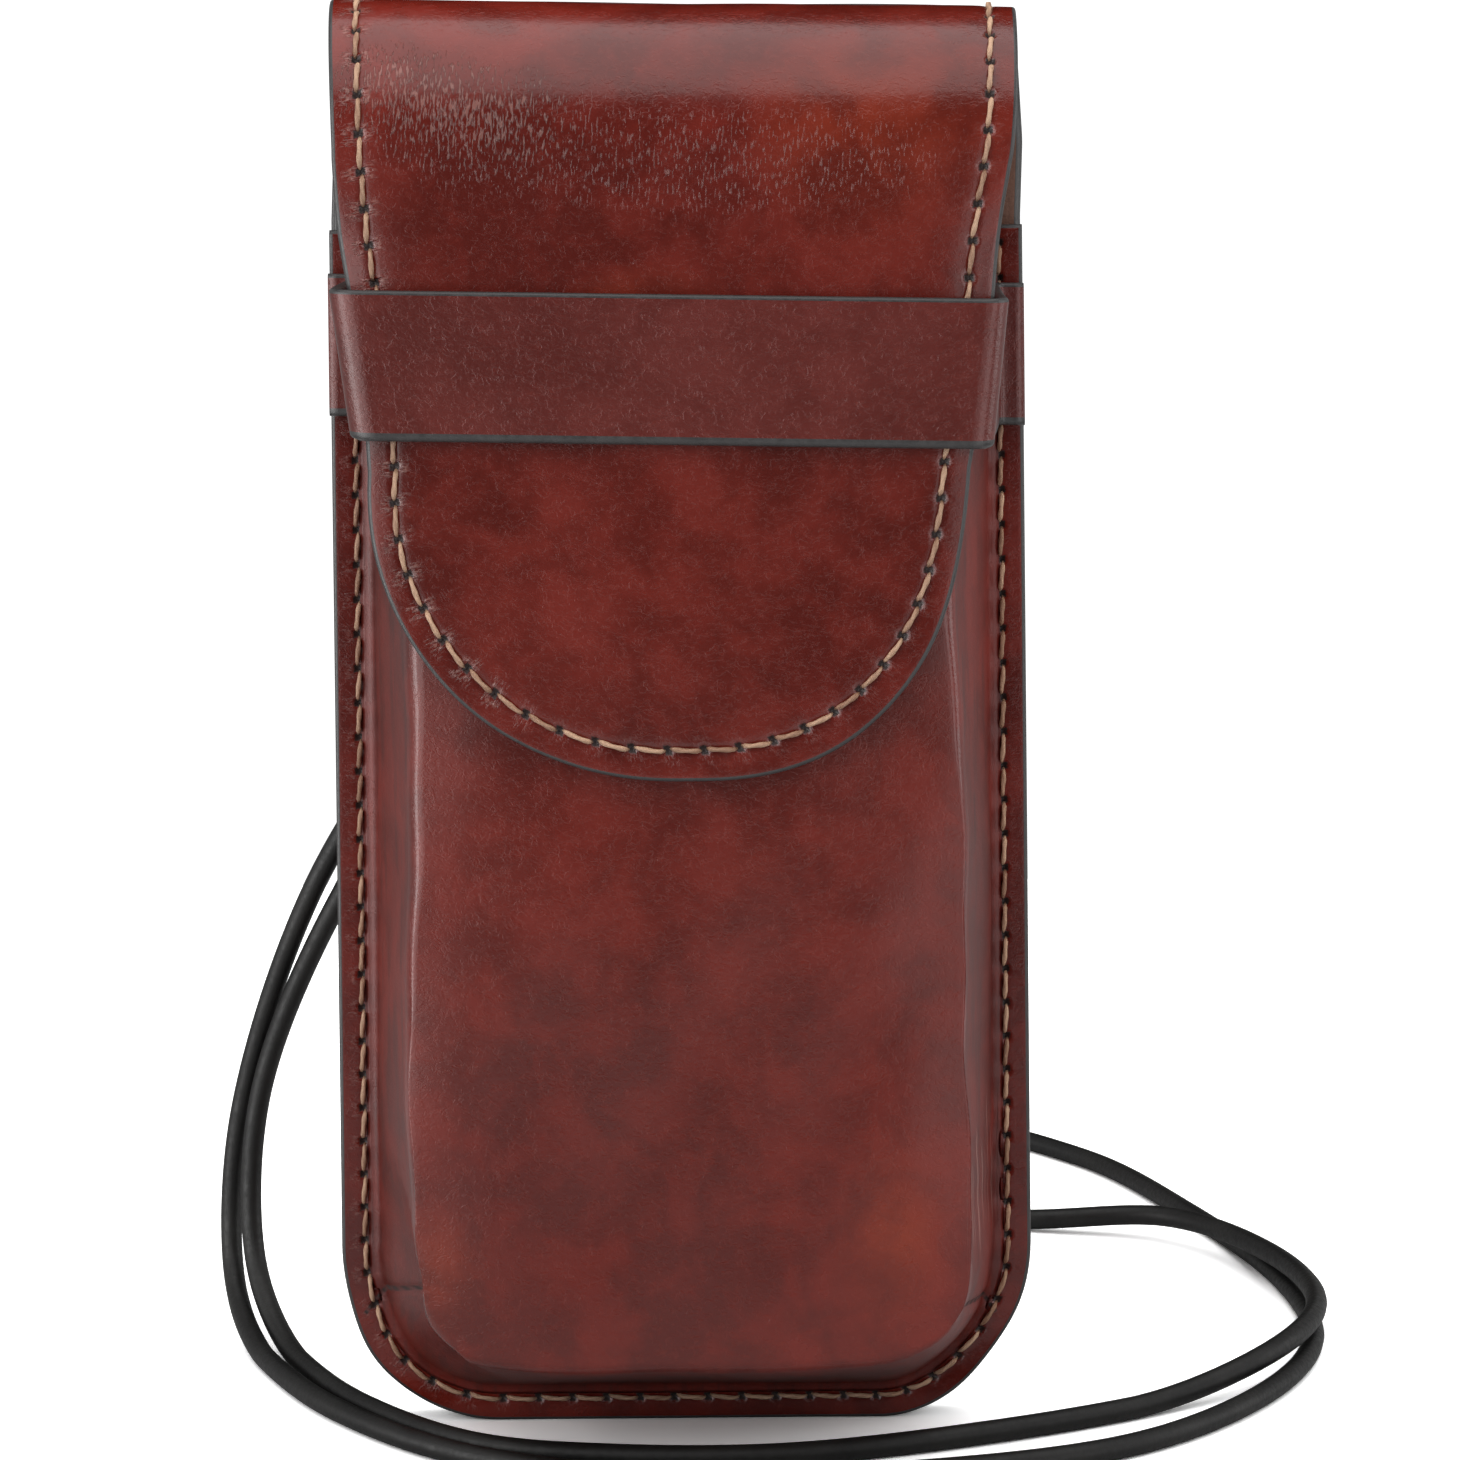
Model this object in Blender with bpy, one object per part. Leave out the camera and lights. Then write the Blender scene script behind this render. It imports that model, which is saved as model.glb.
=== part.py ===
"""Moulded leather glasses case with a tuck-in flap, a retaining band and a neck cord.

Blender 4.5, metres, +Z up. The case stands on its bottom edge at Z = 0, with its front towards -Y.
Sizes below are in millimetres and are turned into metres when a mesh is made.

The case is a stack of leather layers. A depth is counted forwards from the outer face of the back:
back panel, back lining, flange of the moulded front, then the pouch face, the flap over it with its
lining, and the band that goes round all of them. The back panel runs on over the top as the flap.
The flap is cut on two radial lines of its crown, where the leather bends when it is opened.
"""

import math

import bmesh
import bpy
import numpy as np

MM = 0.001

# Leather and lining thicknesses, and the gap kept between pieces that touch
PANEL_THICK = 1.6
LINING_THICK = 0.8
SHELL_THICK = 1.8
BAND_THICK = 1.5
GAP = 0.3
LINING_INSET = 0.4

# Outline of the case, seen from the front. A drop is measured down from the top of the case.
HEIGHT = 184.0
HALF_WIDTH = 45.3
HALF_WIDTH_AT_FOLD = 43.6
BOTTOM_FLAT_HALF = 25.0
CORNER_HEIGHT = 24.0
CORNER_POWER = 2.0

# Moulded pouch front
POUCH_RISE = 26.2
MOUTH_DROP = 27.0
FLANGE_WIDTH = 5.0
FACE_HALF_WIDTH = 36.0
FACE_HALF_WIDTH_AT_MOUTH = 34.6
FACE_BOTTOM_Z = 14.3
FACE_CORNER_RADIUS = 15.0
FOOT_RADIUS = 2.0
SHOULDER_RADIUS = 5.0

# Flap
FLAP_HALF_WIDTH_AT_FOLD = 40.4
FLAP_HALF_WIDTH_AT_TIP = 36.2
TIP_DROP = 92.5
TIP_LENGTH = 38.0
TIP_POWER = 2.2
TIP_END_HALF = 1.2
EDGE_ROLL_FROM = 31.0
EDGE_ROLL_RADIUS = 24.5
EDGE_ROLL_FADE = 15.0

# The two lines where the flap bends, as angles round the crown from the back, and how far outside the
# leather its axes lie
BEND_ANGLES = (45.0, 135.0)
BEND_AXIS_OFF = 1.9

# Retaining band
BAND_DROP = 33.5
BAND_WIDTH = 18.0
BAND_SIDE_CLEARANCE = 0.5
BAND_TAB = 3.4
BAND_TAB_RADIUS = 1.0
BAND_CORNER_RADIUS = 3.2

# Patch that holds the ends of the cord on the back
PATCH_HALF_WIDTH = 10.0
PATCH_DROP = 19.0
PATCH_HEIGHT = 17.0
PATCH_THICK = 1.4
PATCH_CORNER = 2.5
PATCH_SLOPE = 3.0

# Neck cord
CORD_DIAMETER = 3.0
CORD_SPACING = 4.4
CORD_BED = 0.6
CORD_LONGEST_STEP = 25.0
CORD_MOST_TURN = 26.0

# Depths, counted forwards from the outer face of the back
LINING_BACK = PANEL_THICK + GAP
LINING_FRONT = LINING_BACK + LINING_THICK
FLANGE_BACK = LINING_FRONT + GAP
FLANGE_FRONT = FLANGE_BACK + SHELL_THICK
FACE_FRONT = FLANGE_FRONT + POUCH_RISE
FLAP_LINING_BACK = FACE_FRONT + GAP
FLAP_LINING_FRONT = FLAP_LINING_BACK + LINING_THICK
FLAP_BACK = FLAP_LINING_FRONT + GAP
FLAP_FRONT = FLAP_BACK + PANEL_THICK
BAND_BACK = FLAP_FRONT + GAP
BAND_FRONT = BAND_BACK + BAND_THICK

# Heights that follow the top of the case
MOUTH_Z = HEIGHT - MOUTH_DROP
BAND_TOP_Z = HEIGHT - BAND_DROP
BAND_BOTTOM_Z = BAND_TOP_Z - BAND_WIDTH
TIP_Z = HEIGHT - TIP_DROP
TIP_START_Z = TIP_Z + TIP_LENGTH
PATCH_BOTTOM_Z = HEIGHT - PATCH_DROP - PATCH_HEIGHT

# Crown: a half cylinder that joins the back to the flap
CROWN_RADIUS = FLAP_FRONT / 2
SPRING_Z = HEIGHT - CROWN_RADIUS
LINING_RADIUS = CROWN_RADIUS - LINING_BACK

# The bulge of the patch goes over the cord, which lies just off the back
CORD_STANDOFF = GAP + CORD_BED + CORD_DIAMETER / 2
PATCH_BULGE = GAP + CORD_BED + CORD_DIAMETER + PATCH_THICK / 2
BACK_Y = (BAND_FRONT - PATCH_BULGE) / 2

# Route of the cord's middle from the left end in the patch, round the case and back to the right end.
# The first and last points are set by the patch, and the others are chosen by hand: x, y, z.
FLOOR_Z = CORD_DIAMETER / 2
OVER_Z = 5.0
CORD_ROUTE = (
    (-2.6, 18.1, 141.0),
    (-15.0, 26.5, 115.0),
    (-35.8, 39.2, 90.0),
    (-53.2, 50.0, 62.0),
    (-64.4, 55.8, 29.0),
    (-65.4, 51.4, 9.0),
    (-60.3, 35.6, 2.0),
    (-47.4, 12.0, FLOOR_Z),
    (-27.6, -6.4, FLOOR_Z),
    (0.0, -14.9, FLOOR_Z),
    (30.0, -12.8, FLOOR_Z),
    (57.0, -4.0, FLOOR_Z),
    (76.4, 14.6, FLOOR_Z),
    (86.0, 36.0, FLOOR_Z),
    (85.4, 62.0, FLOOR_Z),
    (75.4, 96.0, FLOOR_Z),
    (61.8, 125.6, FLOOR_Z),
    (40.0, 144.4, FLOOR_Z),
    (19.6, 128.0, FLOOR_Z),
    (24.0, 104.0, FLOOR_Z),
    (48.0, 92.8, FLOOR_Z),
    (70.6, 85.4, 4.0),
    (83.4, 65.0, OVER_Z),
    (87.4, 43.0, OVER_Z),
    (79.6, 23.4, OVER_Z),
    (63.0, 12.0, 1.8),
    (40.0, 1.4, FLOOR_Z),
    (13.0, -6.4, FLOOR_Z),
    (-9.0, -6.4, FLOOR_Z),
    (-27.4, -1.8, FLOOR_Z),
    (-44.6, 14.4, FLOOR_Z),
    (-57.0, 37.4, 2.8),
    (-62.1, 49.2, 12.0),
    (-60.8, 53.0, 34.0),
    (-45.8, 46.2, 67.6),
    (-25.0, 34.2, 96.0),
    (-4.4, 22.0, 123.0),
    (2.0, 18.1, 141.0),
)


def clear_scene():
    for item in list(bpy.data.objects):
        bpy.data.objects.remove(item, do_unlink=True)


def make_material(name, colour, roughness):
    material = bpy.data.materials.new(name)
    material.use_nodes = True
    shader = material.node_tree.nodes["Principled BSDF"]
    shader.inputs["Base Color"].default_value = (*colour, 1.0)
    shader.inputs["Roughness"].default_value = roughness
    material.diffuse_color = (*colour, 1.0)
    return material


def place(x, depth, z):
    """Points in space from arrays of x, depth in front of the back's outer face, and z."""
    x, depth, z = np.broadcast_arrays(x, depth, z)
    return np.stack([x, BACK_Y - depth, z], axis=-1)


def add_mesh_object(name, points, faces, material):
    mesh = bpy.data.meshes.new(name)
    mesh.from_pydata((np.asarray(points) * MM).tolist(), [], faces)
    shape = bmesh.new()
    shape.from_mesh(mesh)
    bmesh.ops.recalc_face_normals(shape, faces=shape.faces)
    shape.to_mesh(mesh)
    shape.free()
    mesh.materials.append(material)
    mesh.shade_smooth()
    mesh.set_sharp_from_angle(angle=math.radians(35))
    item = bpy.data.objects.new(name, mesh)
    bpy.context.scene.collection.objects.link(item)
    return item


def grid_faces(rows, columns, start=0):
    index = start + np.arange(rows * columns).reshape(rows, columns)
    corners = [index[:-1, :-1], index[1:, :-1], index[1:, 1:], index[:-1, 1:]]
    return np.stack(corners, axis=-1).reshape(-1, 4).tolist()


def rim_faces(first, second):
    """Quads between two lines of vertices of equal length."""
    return [
        [first[i], first[i + 1], second[i + 1], second[i]] for i in range(len(first) - 1)
    ]


def slab(outer, inner, close_last_column=True):
    """Closed sheet between two grids of points: both faces, and rims along their borders."""
    rows, columns = outer.shape[:2]
    count = rows * columns
    a = np.arange(count).reshape(rows, columns)
    b = a + count
    faces = grid_faces(rows, columns) + grid_faces(rows, columns, count)
    borders = [(a[0], b[0]), (a[-1], b[-1]), (a[:, 0], b[:, 0])]
    if close_last_column:
        borders.append((a[:, -1], b[:, -1]))
    for line, other in borders:
        faces += rim_faces(line.tolist(), other.tolist())
    points = np.concatenate([outer.reshape(-1, 3), inner.reshape(-1, 3)])
    return points, faces, a, b


def side_half_width(z):
    """Half width of the back panel and the flange above their rounded bottom corners."""
    share = (z - CORNER_HEIGHT) / (SPRING_Z - CORNER_HEIGHT)
    return HALF_WIDTH + (HALF_WIDTH_AT_FOLD - HALF_WIDTH) * share


def rounded_end(half_width, reach, power, steps, end_half):
    """Half widths and distances of a rounded end, a superellipse from its widest line to its flat end."""
    turn = np.linspace(0, math.pi / 2, steps + 1)
    width = end_half + (half_width - end_half) * np.cos(turn) ** (2 / power)
    width[-1] = end_half
    return width, reach * np.sin(turn) ** (2 / power)


def bend_share(side):
    """Angles where one piece of the flap ends and the next starts, with the gap between them."""
    half_gap = math.degrees(GAP / 2 / (LINING_RADIUS - LINING_THICK))
    return BEND_ANGLES[side] - half_gap, BEND_ANGLES[side] + half_gap


def crown_rows(first, last, steps, radius, inset):
    """Rows of a strip over the crown, from one angle to another: depth, z and half width."""
    angle = np.linspace(first, last, steps + 1)
    turn = np.radians(angle)
    depth = CROWN_RADIUS - radius * np.cos(turn)
    z = SPRING_Z + radius * np.sin(turn)
    width = HALF_WIDTH_AT_FOLD + (FLAP_HALF_WIDTH_AT_FOLD - HALF_WIDTH_AT_FOLD) * angle / 180
    return depth, z, width - inset


def flap_half_width(z):
    """Half width of the flap between the crown and the start of its rounded tip."""
    share = (SPRING_Z - z) / (SPRING_Z - TIP_START_Z)
    return FLAP_HALF_WIDTH_AT_FOLD + (FLAP_HALF_WIDTH_AT_TIP - FLAP_HALF_WIDTH_AT_FOLD) * share


def edge_roll(x, z):
    """How far the flap's long edges bend back over the pouch's shoulders, fading out at the crown."""
    past = np.clip(np.abs(x) - EDGE_ROLL_FROM, 0, None)
    fade = np.clip((SPRING_Z - z) / EDGE_ROLL_FADE, 0, 1)
    return past**2 / (2 * EDGE_ROLL_RADIUS) * fade * fade * (3 - 2 * fade)


def strip_grid(depth, z, width, columns, rolled=False):
    x = width[:, None] * columns[None, :]
    z = np.broadcast_to(z[:, None], x.shape)
    depth = np.broadcast_to(depth[:, None], x.shape)
    if rolled:
        depth = depth - edge_roll(x, z)
    return place(x, depth, z)


def back_layer(name, outer_depth, thick, radius, inset, material):
    """A layer of the back: flat from its rounded bottom to the fold, then the start of the crown."""
    width, drop = rounded_end(
        HALF_WIDTH, CORNER_HEIGHT, CORNER_POWER, 9, BOTTOM_FLAT_HALF
    )
    flat_width = np.append(width[::-1], side_half_width(MOUTH_Z)) - inset
    flat_z = np.append(CORNER_HEIGHT - drop[::-1], MOUTH_Z)
    flat_z[0] += inset
    columns = np.array([-1.0, 1.0])
    grids = []
    for depth, bend_radius in ((outer_depth, radius), (outer_depth + thick, radius - thick)):
        bend = crown_rows(0, bend_share(0)[0], 5, bend_radius, inset)
        rows = (
            np.concatenate([np.full(len(flat_z), depth), bend[0]]),
            np.concatenate([flat_z, bend[1]]),
            np.concatenate([flat_width, bend[2]]),
        )
        grids.append(strip_grid(*rows, columns))
    points, faces, _, _ = slab(*grids)
    return add_mesh_object(name, points, faces, material)


def crown_layer(name, thick, radius, inset, material):
    """A layer of the flap between its two bending lines."""
    columns = np.array([-1.0, 1.0])
    first, last = bend_share(0)[1], bend_share(1)[0]
    grids = [
        strip_grid(*crown_rows(first, last, 8, r, inset), columns)
        for r in (radius, radius - thick)
    ]
    points, faces, _, _ = slab(*grids)
    return add_mesh_object(name, points, faces, material)


def tongue_layer(name, front_depth, thick, radius, inset, material):
    """A layer of the flap's tongue: the end of the crown, the tapered sides and the rounded tip."""
    tip_width, tip_drop = rounded_end(
        FLAP_HALF_WIDTH_AT_TIP, TIP_LENGTH, TIP_POWER, 12, TIP_END_HALF
    )
    side_z = np.linspace(SPRING_Z, TIP_START_Z, 9)[1:-1]
    flat_z = np.concatenate([side_z, TIP_START_Z - tip_drop])
    flat_width = np.concatenate([flap_half_width(side_z), tip_width])
    flat_width = np.maximum(flat_width - inset, TIP_END_HALF)
    flat_z[-1] += inset
    half = np.array([0.0, 0.4, 0.72, 0.8, 0.87, 0.94, 1.0])
    columns = np.concatenate([-half[:0:-1], half])
    grids = []
    for depth, bend_radius in ((front_depth, radius), (front_depth - thick, radius - thick)):
        bend = crown_rows(bend_share(1)[1], 180, 4, bend_radius, inset)
        rows = (
            np.concatenate([bend[0], np.full(len(flat_z), depth)]),
            np.concatenate([bend[1], flat_z]),
            np.concatenate([bend[2], flat_width]),
        )
        grids.append(strip_grid(*rows, columns, rolled=True))
    points, faces, _, _ = slab(*grids)
    return add_mesh_object(name, points, faces, material)


def outline_of_flange():
    """Points of the flange's edge from the mouth, left side first, with its inward directions."""
    width, drop = rounded_end(
        HALF_WIDTH, CORNER_HEIGHT, CORNER_POWER, 9, BOTTOM_FLAT_HALF
    )
    side_z = np.linspace(MOUTH_Z, CORNER_HEIGHT, 5)[:-1]
    x = np.concatenate([side_half_width(side_z), width])
    z = np.concatenate([side_z, CORNER_HEIGHT - drop])
    left = np.stack([-x, z], axis=1)
    line = np.concatenate([left, left[::-1] * (-1, 1)])
    along = np.gradient(line, axis=0)
    middle = len(left)
    along[middle - 1 : middle + 1] = (1, 0)
    along /= np.linalg.norm(along, axis=1)[:, None]
    return line, np.stack([-along[:, 1], along[:, 0]], axis=1), len(width)


def outline_of_face(corner_points):
    """Points of the sharp line where the pouch's walls would meet its face, matched to the flange's."""
    turn = np.linspace(0, math.pi / 2, corner_points)
    corner_x = FACE_HALF_WIDTH - FACE_CORNER_RADIUS * (1 - np.cos(turn))
    corner_z = FACE_BOTTOM_Z + FACE_CORNER_RADIUS * (1 - np.sin(turn))
    share = np.linspace(0, 1, 5)[:-1]
    side_z = MOUTH_Z + (corner_z[0] - MOUTH_Z) * share
    side_x = FACE_HALF_WIDTH_AT_MOUTH + (FACE_HALF_WIDTH - FACE_HALF_WIDTH_AT_MOUTH) * share
    left = np.stack(
        [-np.concatenate([side_x, corner_x]), np.concatenate([side_z, corner_z])], axis=1
    )
    return np.concatenate([left, left[::-1] * (-1, 1)])


def shell_profile(run, foot_radius, shoulder_radius, offset):
    """Profile across the pouch's wall: inward distance from the foot, and rise from the flange.

    The flange turns up into the wall on an arc, and the wall turns in to the face on another. offset
    moves the profile to the inner face of the leather, about the same two centres.
    """
    slope = np.arctan2(POUCH_RISE, run)[:, None]
    reach = np.tan(slope / 2)
    foot_turn = slope * np.linspace(0, 1, 5)
    foot_u = -foot_radius * reach + (foot_radius + offset) * np.sin(foot_turn)
    foot_v = foot_radius - (foot_radius + offset) * np.cos(foot_turn)
    top_turn = slope * np.linspace(1, 0, 6)
    top_u = run[:, None] + shoulder_radius * reach - (shoulder_radius - offset) * np.sin(top_turn)
    top_v = POUCH_RISE - shoulder_radius + (shoulder_radius - offset) * np.cos(top_turn)
    edge_u = np.full((len(run), 1), -FLANGE_WIDTH)
    edge_v = np.full((len(run), 1), -offset)
    return np.hstack([edge_u, foot_u, top_u]), np.hstack([edge_v, foot_v, top_v])


def front_shell(material):
    """The wet-moulded front: flange, sloping walls and flat face, open along its mouth."""
    edge, inward, corner_points = outline_of_flange()
    foot = edge + inward * FLANGE_WIDTH
    across = outline_of_face(corner_points) - foot
    run = np.linalg.norm(across, axis=1)
    across /= run[:, None]
    grids = []
    for offset in (0.0, SHELL_THICK):
        u, v = shell_profile(run, FOOT_RADIUS, SHOULDER_RADIUS, offset)
        direction = np.where((u < 0)[..., None], inward[:, None], across[:, None])
        flat = foot[:, None] + direction * u[..., None]
        grids.append(place(flat[..., 0], FLANGE_FRONT + v, flat[..., 1]))
    points, faces, outer, inner = slab(*grids, close_last_column=False)
    faces.append(outer[:, -1].tolist())
    faces.append(inner[:, -1].tolist())
    faces.append([int(outer[0, -1]), int(outer[-1, -1]), int(inner[-1, -1]), int(inner[0, -1])])
    return add_mesh_object("front_shell", points, faces, material)


def arc(centre, radius, first, last, steps):
    turn = np.radians(np.linspace(first, last, steps + 1))
    return np.stack(
        [centre[0] + radius * np.cos(turn), centre[1] + radius * np.sin(turn)], axis=1
    )


def band_line(z, offset):
    """Half of the band's line at one height, from its tab on the flange to the middle: x and depth.

    offset 0 is its outer face, and the band's thickness its inner face.
    """
    tab_end = side_half_width(z)
    tab_front = FLANGE_FRONT + GAP + BAND_THICK
    wall_foot = tab_end - BAND_TAB
    wall_front = flap_half_width(z) + BAND_SIDE_CLEARANCE + BAND_THICK
    foot_centre = (wall_foot + BAND_TAB_RADIUS, tab_front + BAND_TAB_RADIUS)
    corner_centre = (wall_front - BAND_CORNER_RADIUS, BAND_FRONT - BAND_CORNER_RADIUS)
    foot = arc(foot_centre, BAND_TAB_RADIUS + offset, 270, 180, 4)
    corner = arc(corner_centre, BAND_CORNER_RADIUS - offset, 0, 90, 6)
    return np.concatenate([[(tab_end, tab_front - offset)], foot, corner])


def retaining_band(material):
    """The band over the front that the flap is tucked under, with a tab on each side of the flange."""
    grids = []
    for offset in (0.0, BAND_THICK):
        rows = []
        for z in (BAND_TOP_Z, BAND_BOTTOM_Z):
            half = band_line(z, offset)
            line = np.concatenate([half, half[::-1] * (-1, 1)])
            rows.append(place(line[:, 0], line[:, 1], z))
        grids.append(np.array(rows))
    points, faces, _, _ = slab(*grids)
    return add_mesh_object("retaining_band", points, faces, material)


def cord_anchor(material):
    """Leather patch on the back, raised in the middle over the two ends of the cord."""
    share = np.linspace(0, 1, 5)
    bulge_half = (CORD_SPACING + CORD_DIAMETER) / 2
    left = np.concatenate([[-PATCH_HALF_WIDTH], -bulge_half - PATCH_SLOPE * (1 - share)])
    rise = np.concatenate([[0.0], share**2 * (3 - 2 * share)])
    x = np.concatenate([left, -left[::-1]])
    rise = np.concatenate([rise, rise[::-1]])
    corner_turn = np.linspace(0, math.pi / 2, 4)
    corner_x = PATCH_CORNER * (1 - np.sin(corner_turn))
    corner_z = PATCH_CORNER * (1 - np.cos(corner_turn))
    top_z = PATCH_BOTTOM_Z + PATCH_HEIGHT
    slope_z = top_z - PATCH_CORNER - PATCH_SLOPE * (1 + share[1:-1][::-1])
    z = np.concatenate([PATCH_BOTTOM_Z + corner_z, slope_z, top_z - corner_z[::-1]])
    half = PATCH_HALF_WIDTH - np.concatenate([corner_x, 0 * slope_z, corner_x[::-1]])
    fall = np.clip((top_z - PATCH_CORNER - z) / PATCH_SLOPE - 1, 0, 1)
    fall = fall**2 * (3 - 2 * fall)
    height = PATCH_THICK + (PATCH_BULGE - GAP - PATCH_THICK) * fall[:, None] * rise[None, :]
    across = np.clip(x[None, :], -half[:, None], half[:, None])
    outer = place(across, -GAP - height, z[:, None])
    inner = place(across, -GAP, z[:, None])
    points, faces, _, _ = slab(outer, inner)
    return add_mesh_object("cord_anchor", points, faces, material)


def smooth_line(points):
    """Points along a centripetal Catmull-Rom curve through the given ones, closer where it bends."""
    points = np.asarray(points, float)
    points = np.vstack([2 * points[0] - points[1], points, 2 * points[-1] - points[-2]])
    fine = []
    for a, b, c, d in zip(points, points[1:], points[2:], points[3:]):
        times = np.cumsum([0] + [math.dist(p, q) ** 0.5 for p, q in ((a, b), (b, c), (c, d))])
        t = np.linspace(times[1], times[2], 24, endpoint=False)[:, None]
        ab = a + (b - a) * (t - times[0]) / (times[1] - times[0])
        bc = b + (c - b) * (t - times[1]) / (times[2] - times[1])
        cd = c + (d - c) * (t - times[2]) / (times[3] - times[2])
        abc = ab + (bc - ab) * (t - times[0]) / (times[2] - times[0])
        bcd = bc + (cd - bc) * (t - times[1]) / (times[3] - times[1])
        fine.append(abc + (bcd - abc) * (t - times[1]) / (times[2] - times[1]))
    fine = np.vstack([*fine, points[-2:-1]])
    fine[:, 2] = np.maximum(fine[:, 2], FLOOR_Z)
    length = np.linalg.norm(np.diff(fine, axis=0), axis=1)
    heading = np.diff(fine, axis=0) / length[:, None]
    cosine = np.clip((heading[1:] * heading[:-1]).sum(axis=1), -1, 1)
    turn = np.append(0, np.degrees(np.arccos(cosine)))
    steps = np.append(0, np.cumsum(length / CORD_LONGEST_STEP + turn / CORD_MOST_TURN))
    wanted = np.linspace(0, steps[-1], math.ceil(steps[-1]))
    return np.stack([np.interp(wanted, steps, fine[:, k]) for k in range(3)], axis=1)


def neck_cord(material):
    """Round cord with both ends in the patch. It lies doubled round the foot of the case."""
    end_y = BACK_Y + CORD_STANDOFF
    end_z = PATCH_BOTTOM_Z - GAP
    half = CORD_SPACING / 2
    route = [(-half, end_y, end_z), *CORD_ROUTE, (half, end_y, end_z)]
    points = smooth_line(route)
    curve = bpy.data.curves.new("neck_cord", "CURVE")
    curve.dimensions = "3D"
    curve.bevel_depth = CORD_DIAMETER / 2 * MM
    curve.bevel_resolution = 2
    curve.use_fill_caps = True
    spline = curve.splines.new("POLY")
    spline.points.add(len(points) - 1)
    spline.points.foreach_set("co", np.hstack([points * MM, np.ones((len(points), 1))]).ravel())
    curve.materials.append(material)
    item = bpy.data.objects.new("neck_cord", curve)
    bpy.context.scene.collection.objects.link(item)
    return item


def bend_axis(name, angle, parent):
    """Empty on the line that one piece of the flap turns about when the leather bends."""
    turn = math.radians(angle)
    reach = CROWN_RADIUS + BEND_AXIS_OFF
    depth = CROWN_RADIUS - reach * math.cos(turn)
    axis = bpy.data.objects.new(name, None)
    bpy.context.scene.collection.objects.link(axis)
    where = np.array([0.0, BACK_Y - depth, SPRING_Z + reach * math.sin(turn)]) * MM
    axis.parent = parent
    axis.location = where - (np.array(parent.location) if parent else 0)
    return axis, where


def hang_on(item, axis, where):
    """Parents a piece to its axis and keeps it where it was made."""
    item.parent = axis
    item.location = -where


def build():
    clear_scene()
    outer_leather = make_material("outer_leather", (0.17, 0.033, 0.018), 0.32)
    lining_leather = make_material("lining_leather", (0.24, 0.10, 0.05), 0.7)
    band_leather = make_material("band_leather", (0.18, 0.038, 0.022), 0.32)
    cord_black = make_material("cord_black", (0.012, 0.011, 0.010), 0.45)

    back_layer("back_panel", 0.0, PANEL_THICK, CROWN_RADIUS, 0.0, outer_leather)
    back_layer(
        "back_lining", LINING_BACK, LINING_THICK, LINING_RADIUS, LINING_INSET, lining_leather
    )
    front_shell(outer_leather)
    retaining_band(band_leather)
    cord_anchor(outer_leather)
    neck_cord(cord_black)

    crown_axis, crown_at = bend_axis("crown_axis", BEND_ANGLES[0], None)
    tongue_axis, tongue_at = bend_axis("tongue_axis", BEND_ANGLES[1], crown_axis)
    crown = crown_layer("flap_crown", PANEL_THICK, CROWN_RADIUS, 0.0, outer_leather)
    crown_lining = crown_layer(
        "flap_crown_lining", LINING_THICK, LINING_RADIUS, LINING_INSET, lining_leather
    )
    tongue = tongue_layer(
        "flap_tongue", FLAP_FRONT, PANEL_THICK, CROWN_RADIUS, 0.0, outer_leather
    )
    tongue_lining = tongue_layer(
        "flap_tongue_lining",
        FLAP_LINING_FRONT,
        LINING_THICK,
        LINING_RADIUS,
        LINING_INSET,
        lining_leather,
    )
    for item in (crown, crown_lining):
        hang_on(item, crown_axis, crown_at)
    for item in (tongue, tongue_lining):
        hang_on(item, tongue_axis, tongue_at)


build()
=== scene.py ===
"""Finished surfaces of the moulded leather glasses case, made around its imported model.

The case stands upright on a pale floor with its front towards -Y. Lengths below are in millimetres, and
seat() turns them into metres. A depth is counted forwards from the outer face of the back.

Back, crown and flap are one strip of leather. It is described flat, by x across it and by a distance
along its outer face from the top of the crown, and over_the_strip() lays it round the case.
"""

import math
from collections import namedtuple

import bpy
import numpy as np
from mathutils import Matrix


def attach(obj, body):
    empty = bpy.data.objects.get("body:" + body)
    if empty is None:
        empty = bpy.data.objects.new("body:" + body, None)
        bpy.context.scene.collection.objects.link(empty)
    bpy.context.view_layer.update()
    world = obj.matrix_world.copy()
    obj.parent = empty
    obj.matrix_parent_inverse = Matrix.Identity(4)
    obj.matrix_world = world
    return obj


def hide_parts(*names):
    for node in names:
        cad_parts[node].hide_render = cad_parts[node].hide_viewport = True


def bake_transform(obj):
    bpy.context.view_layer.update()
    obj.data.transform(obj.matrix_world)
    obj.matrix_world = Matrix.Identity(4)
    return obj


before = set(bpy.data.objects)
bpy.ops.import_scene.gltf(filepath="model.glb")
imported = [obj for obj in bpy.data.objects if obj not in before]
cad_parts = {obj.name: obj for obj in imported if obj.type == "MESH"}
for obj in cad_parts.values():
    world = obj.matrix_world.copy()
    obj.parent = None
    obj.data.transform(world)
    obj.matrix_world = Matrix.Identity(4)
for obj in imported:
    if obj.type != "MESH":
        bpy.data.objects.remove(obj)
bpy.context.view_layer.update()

MM = 0.001

# Leather thicknesses and the places of the layers. The lining also fills the model's gap to the panel
PANEL_THICK = 1.6
LINING_THICK = 1.1
LINING_INSET = 0.4
SHELL_THICK = 1.8
BAND_THICK = 1.5
GAP = 0.3
FLANGE_FRONT = 4.8
BAND_FRONT = 35.8
BACK_Y = 15.6

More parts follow.
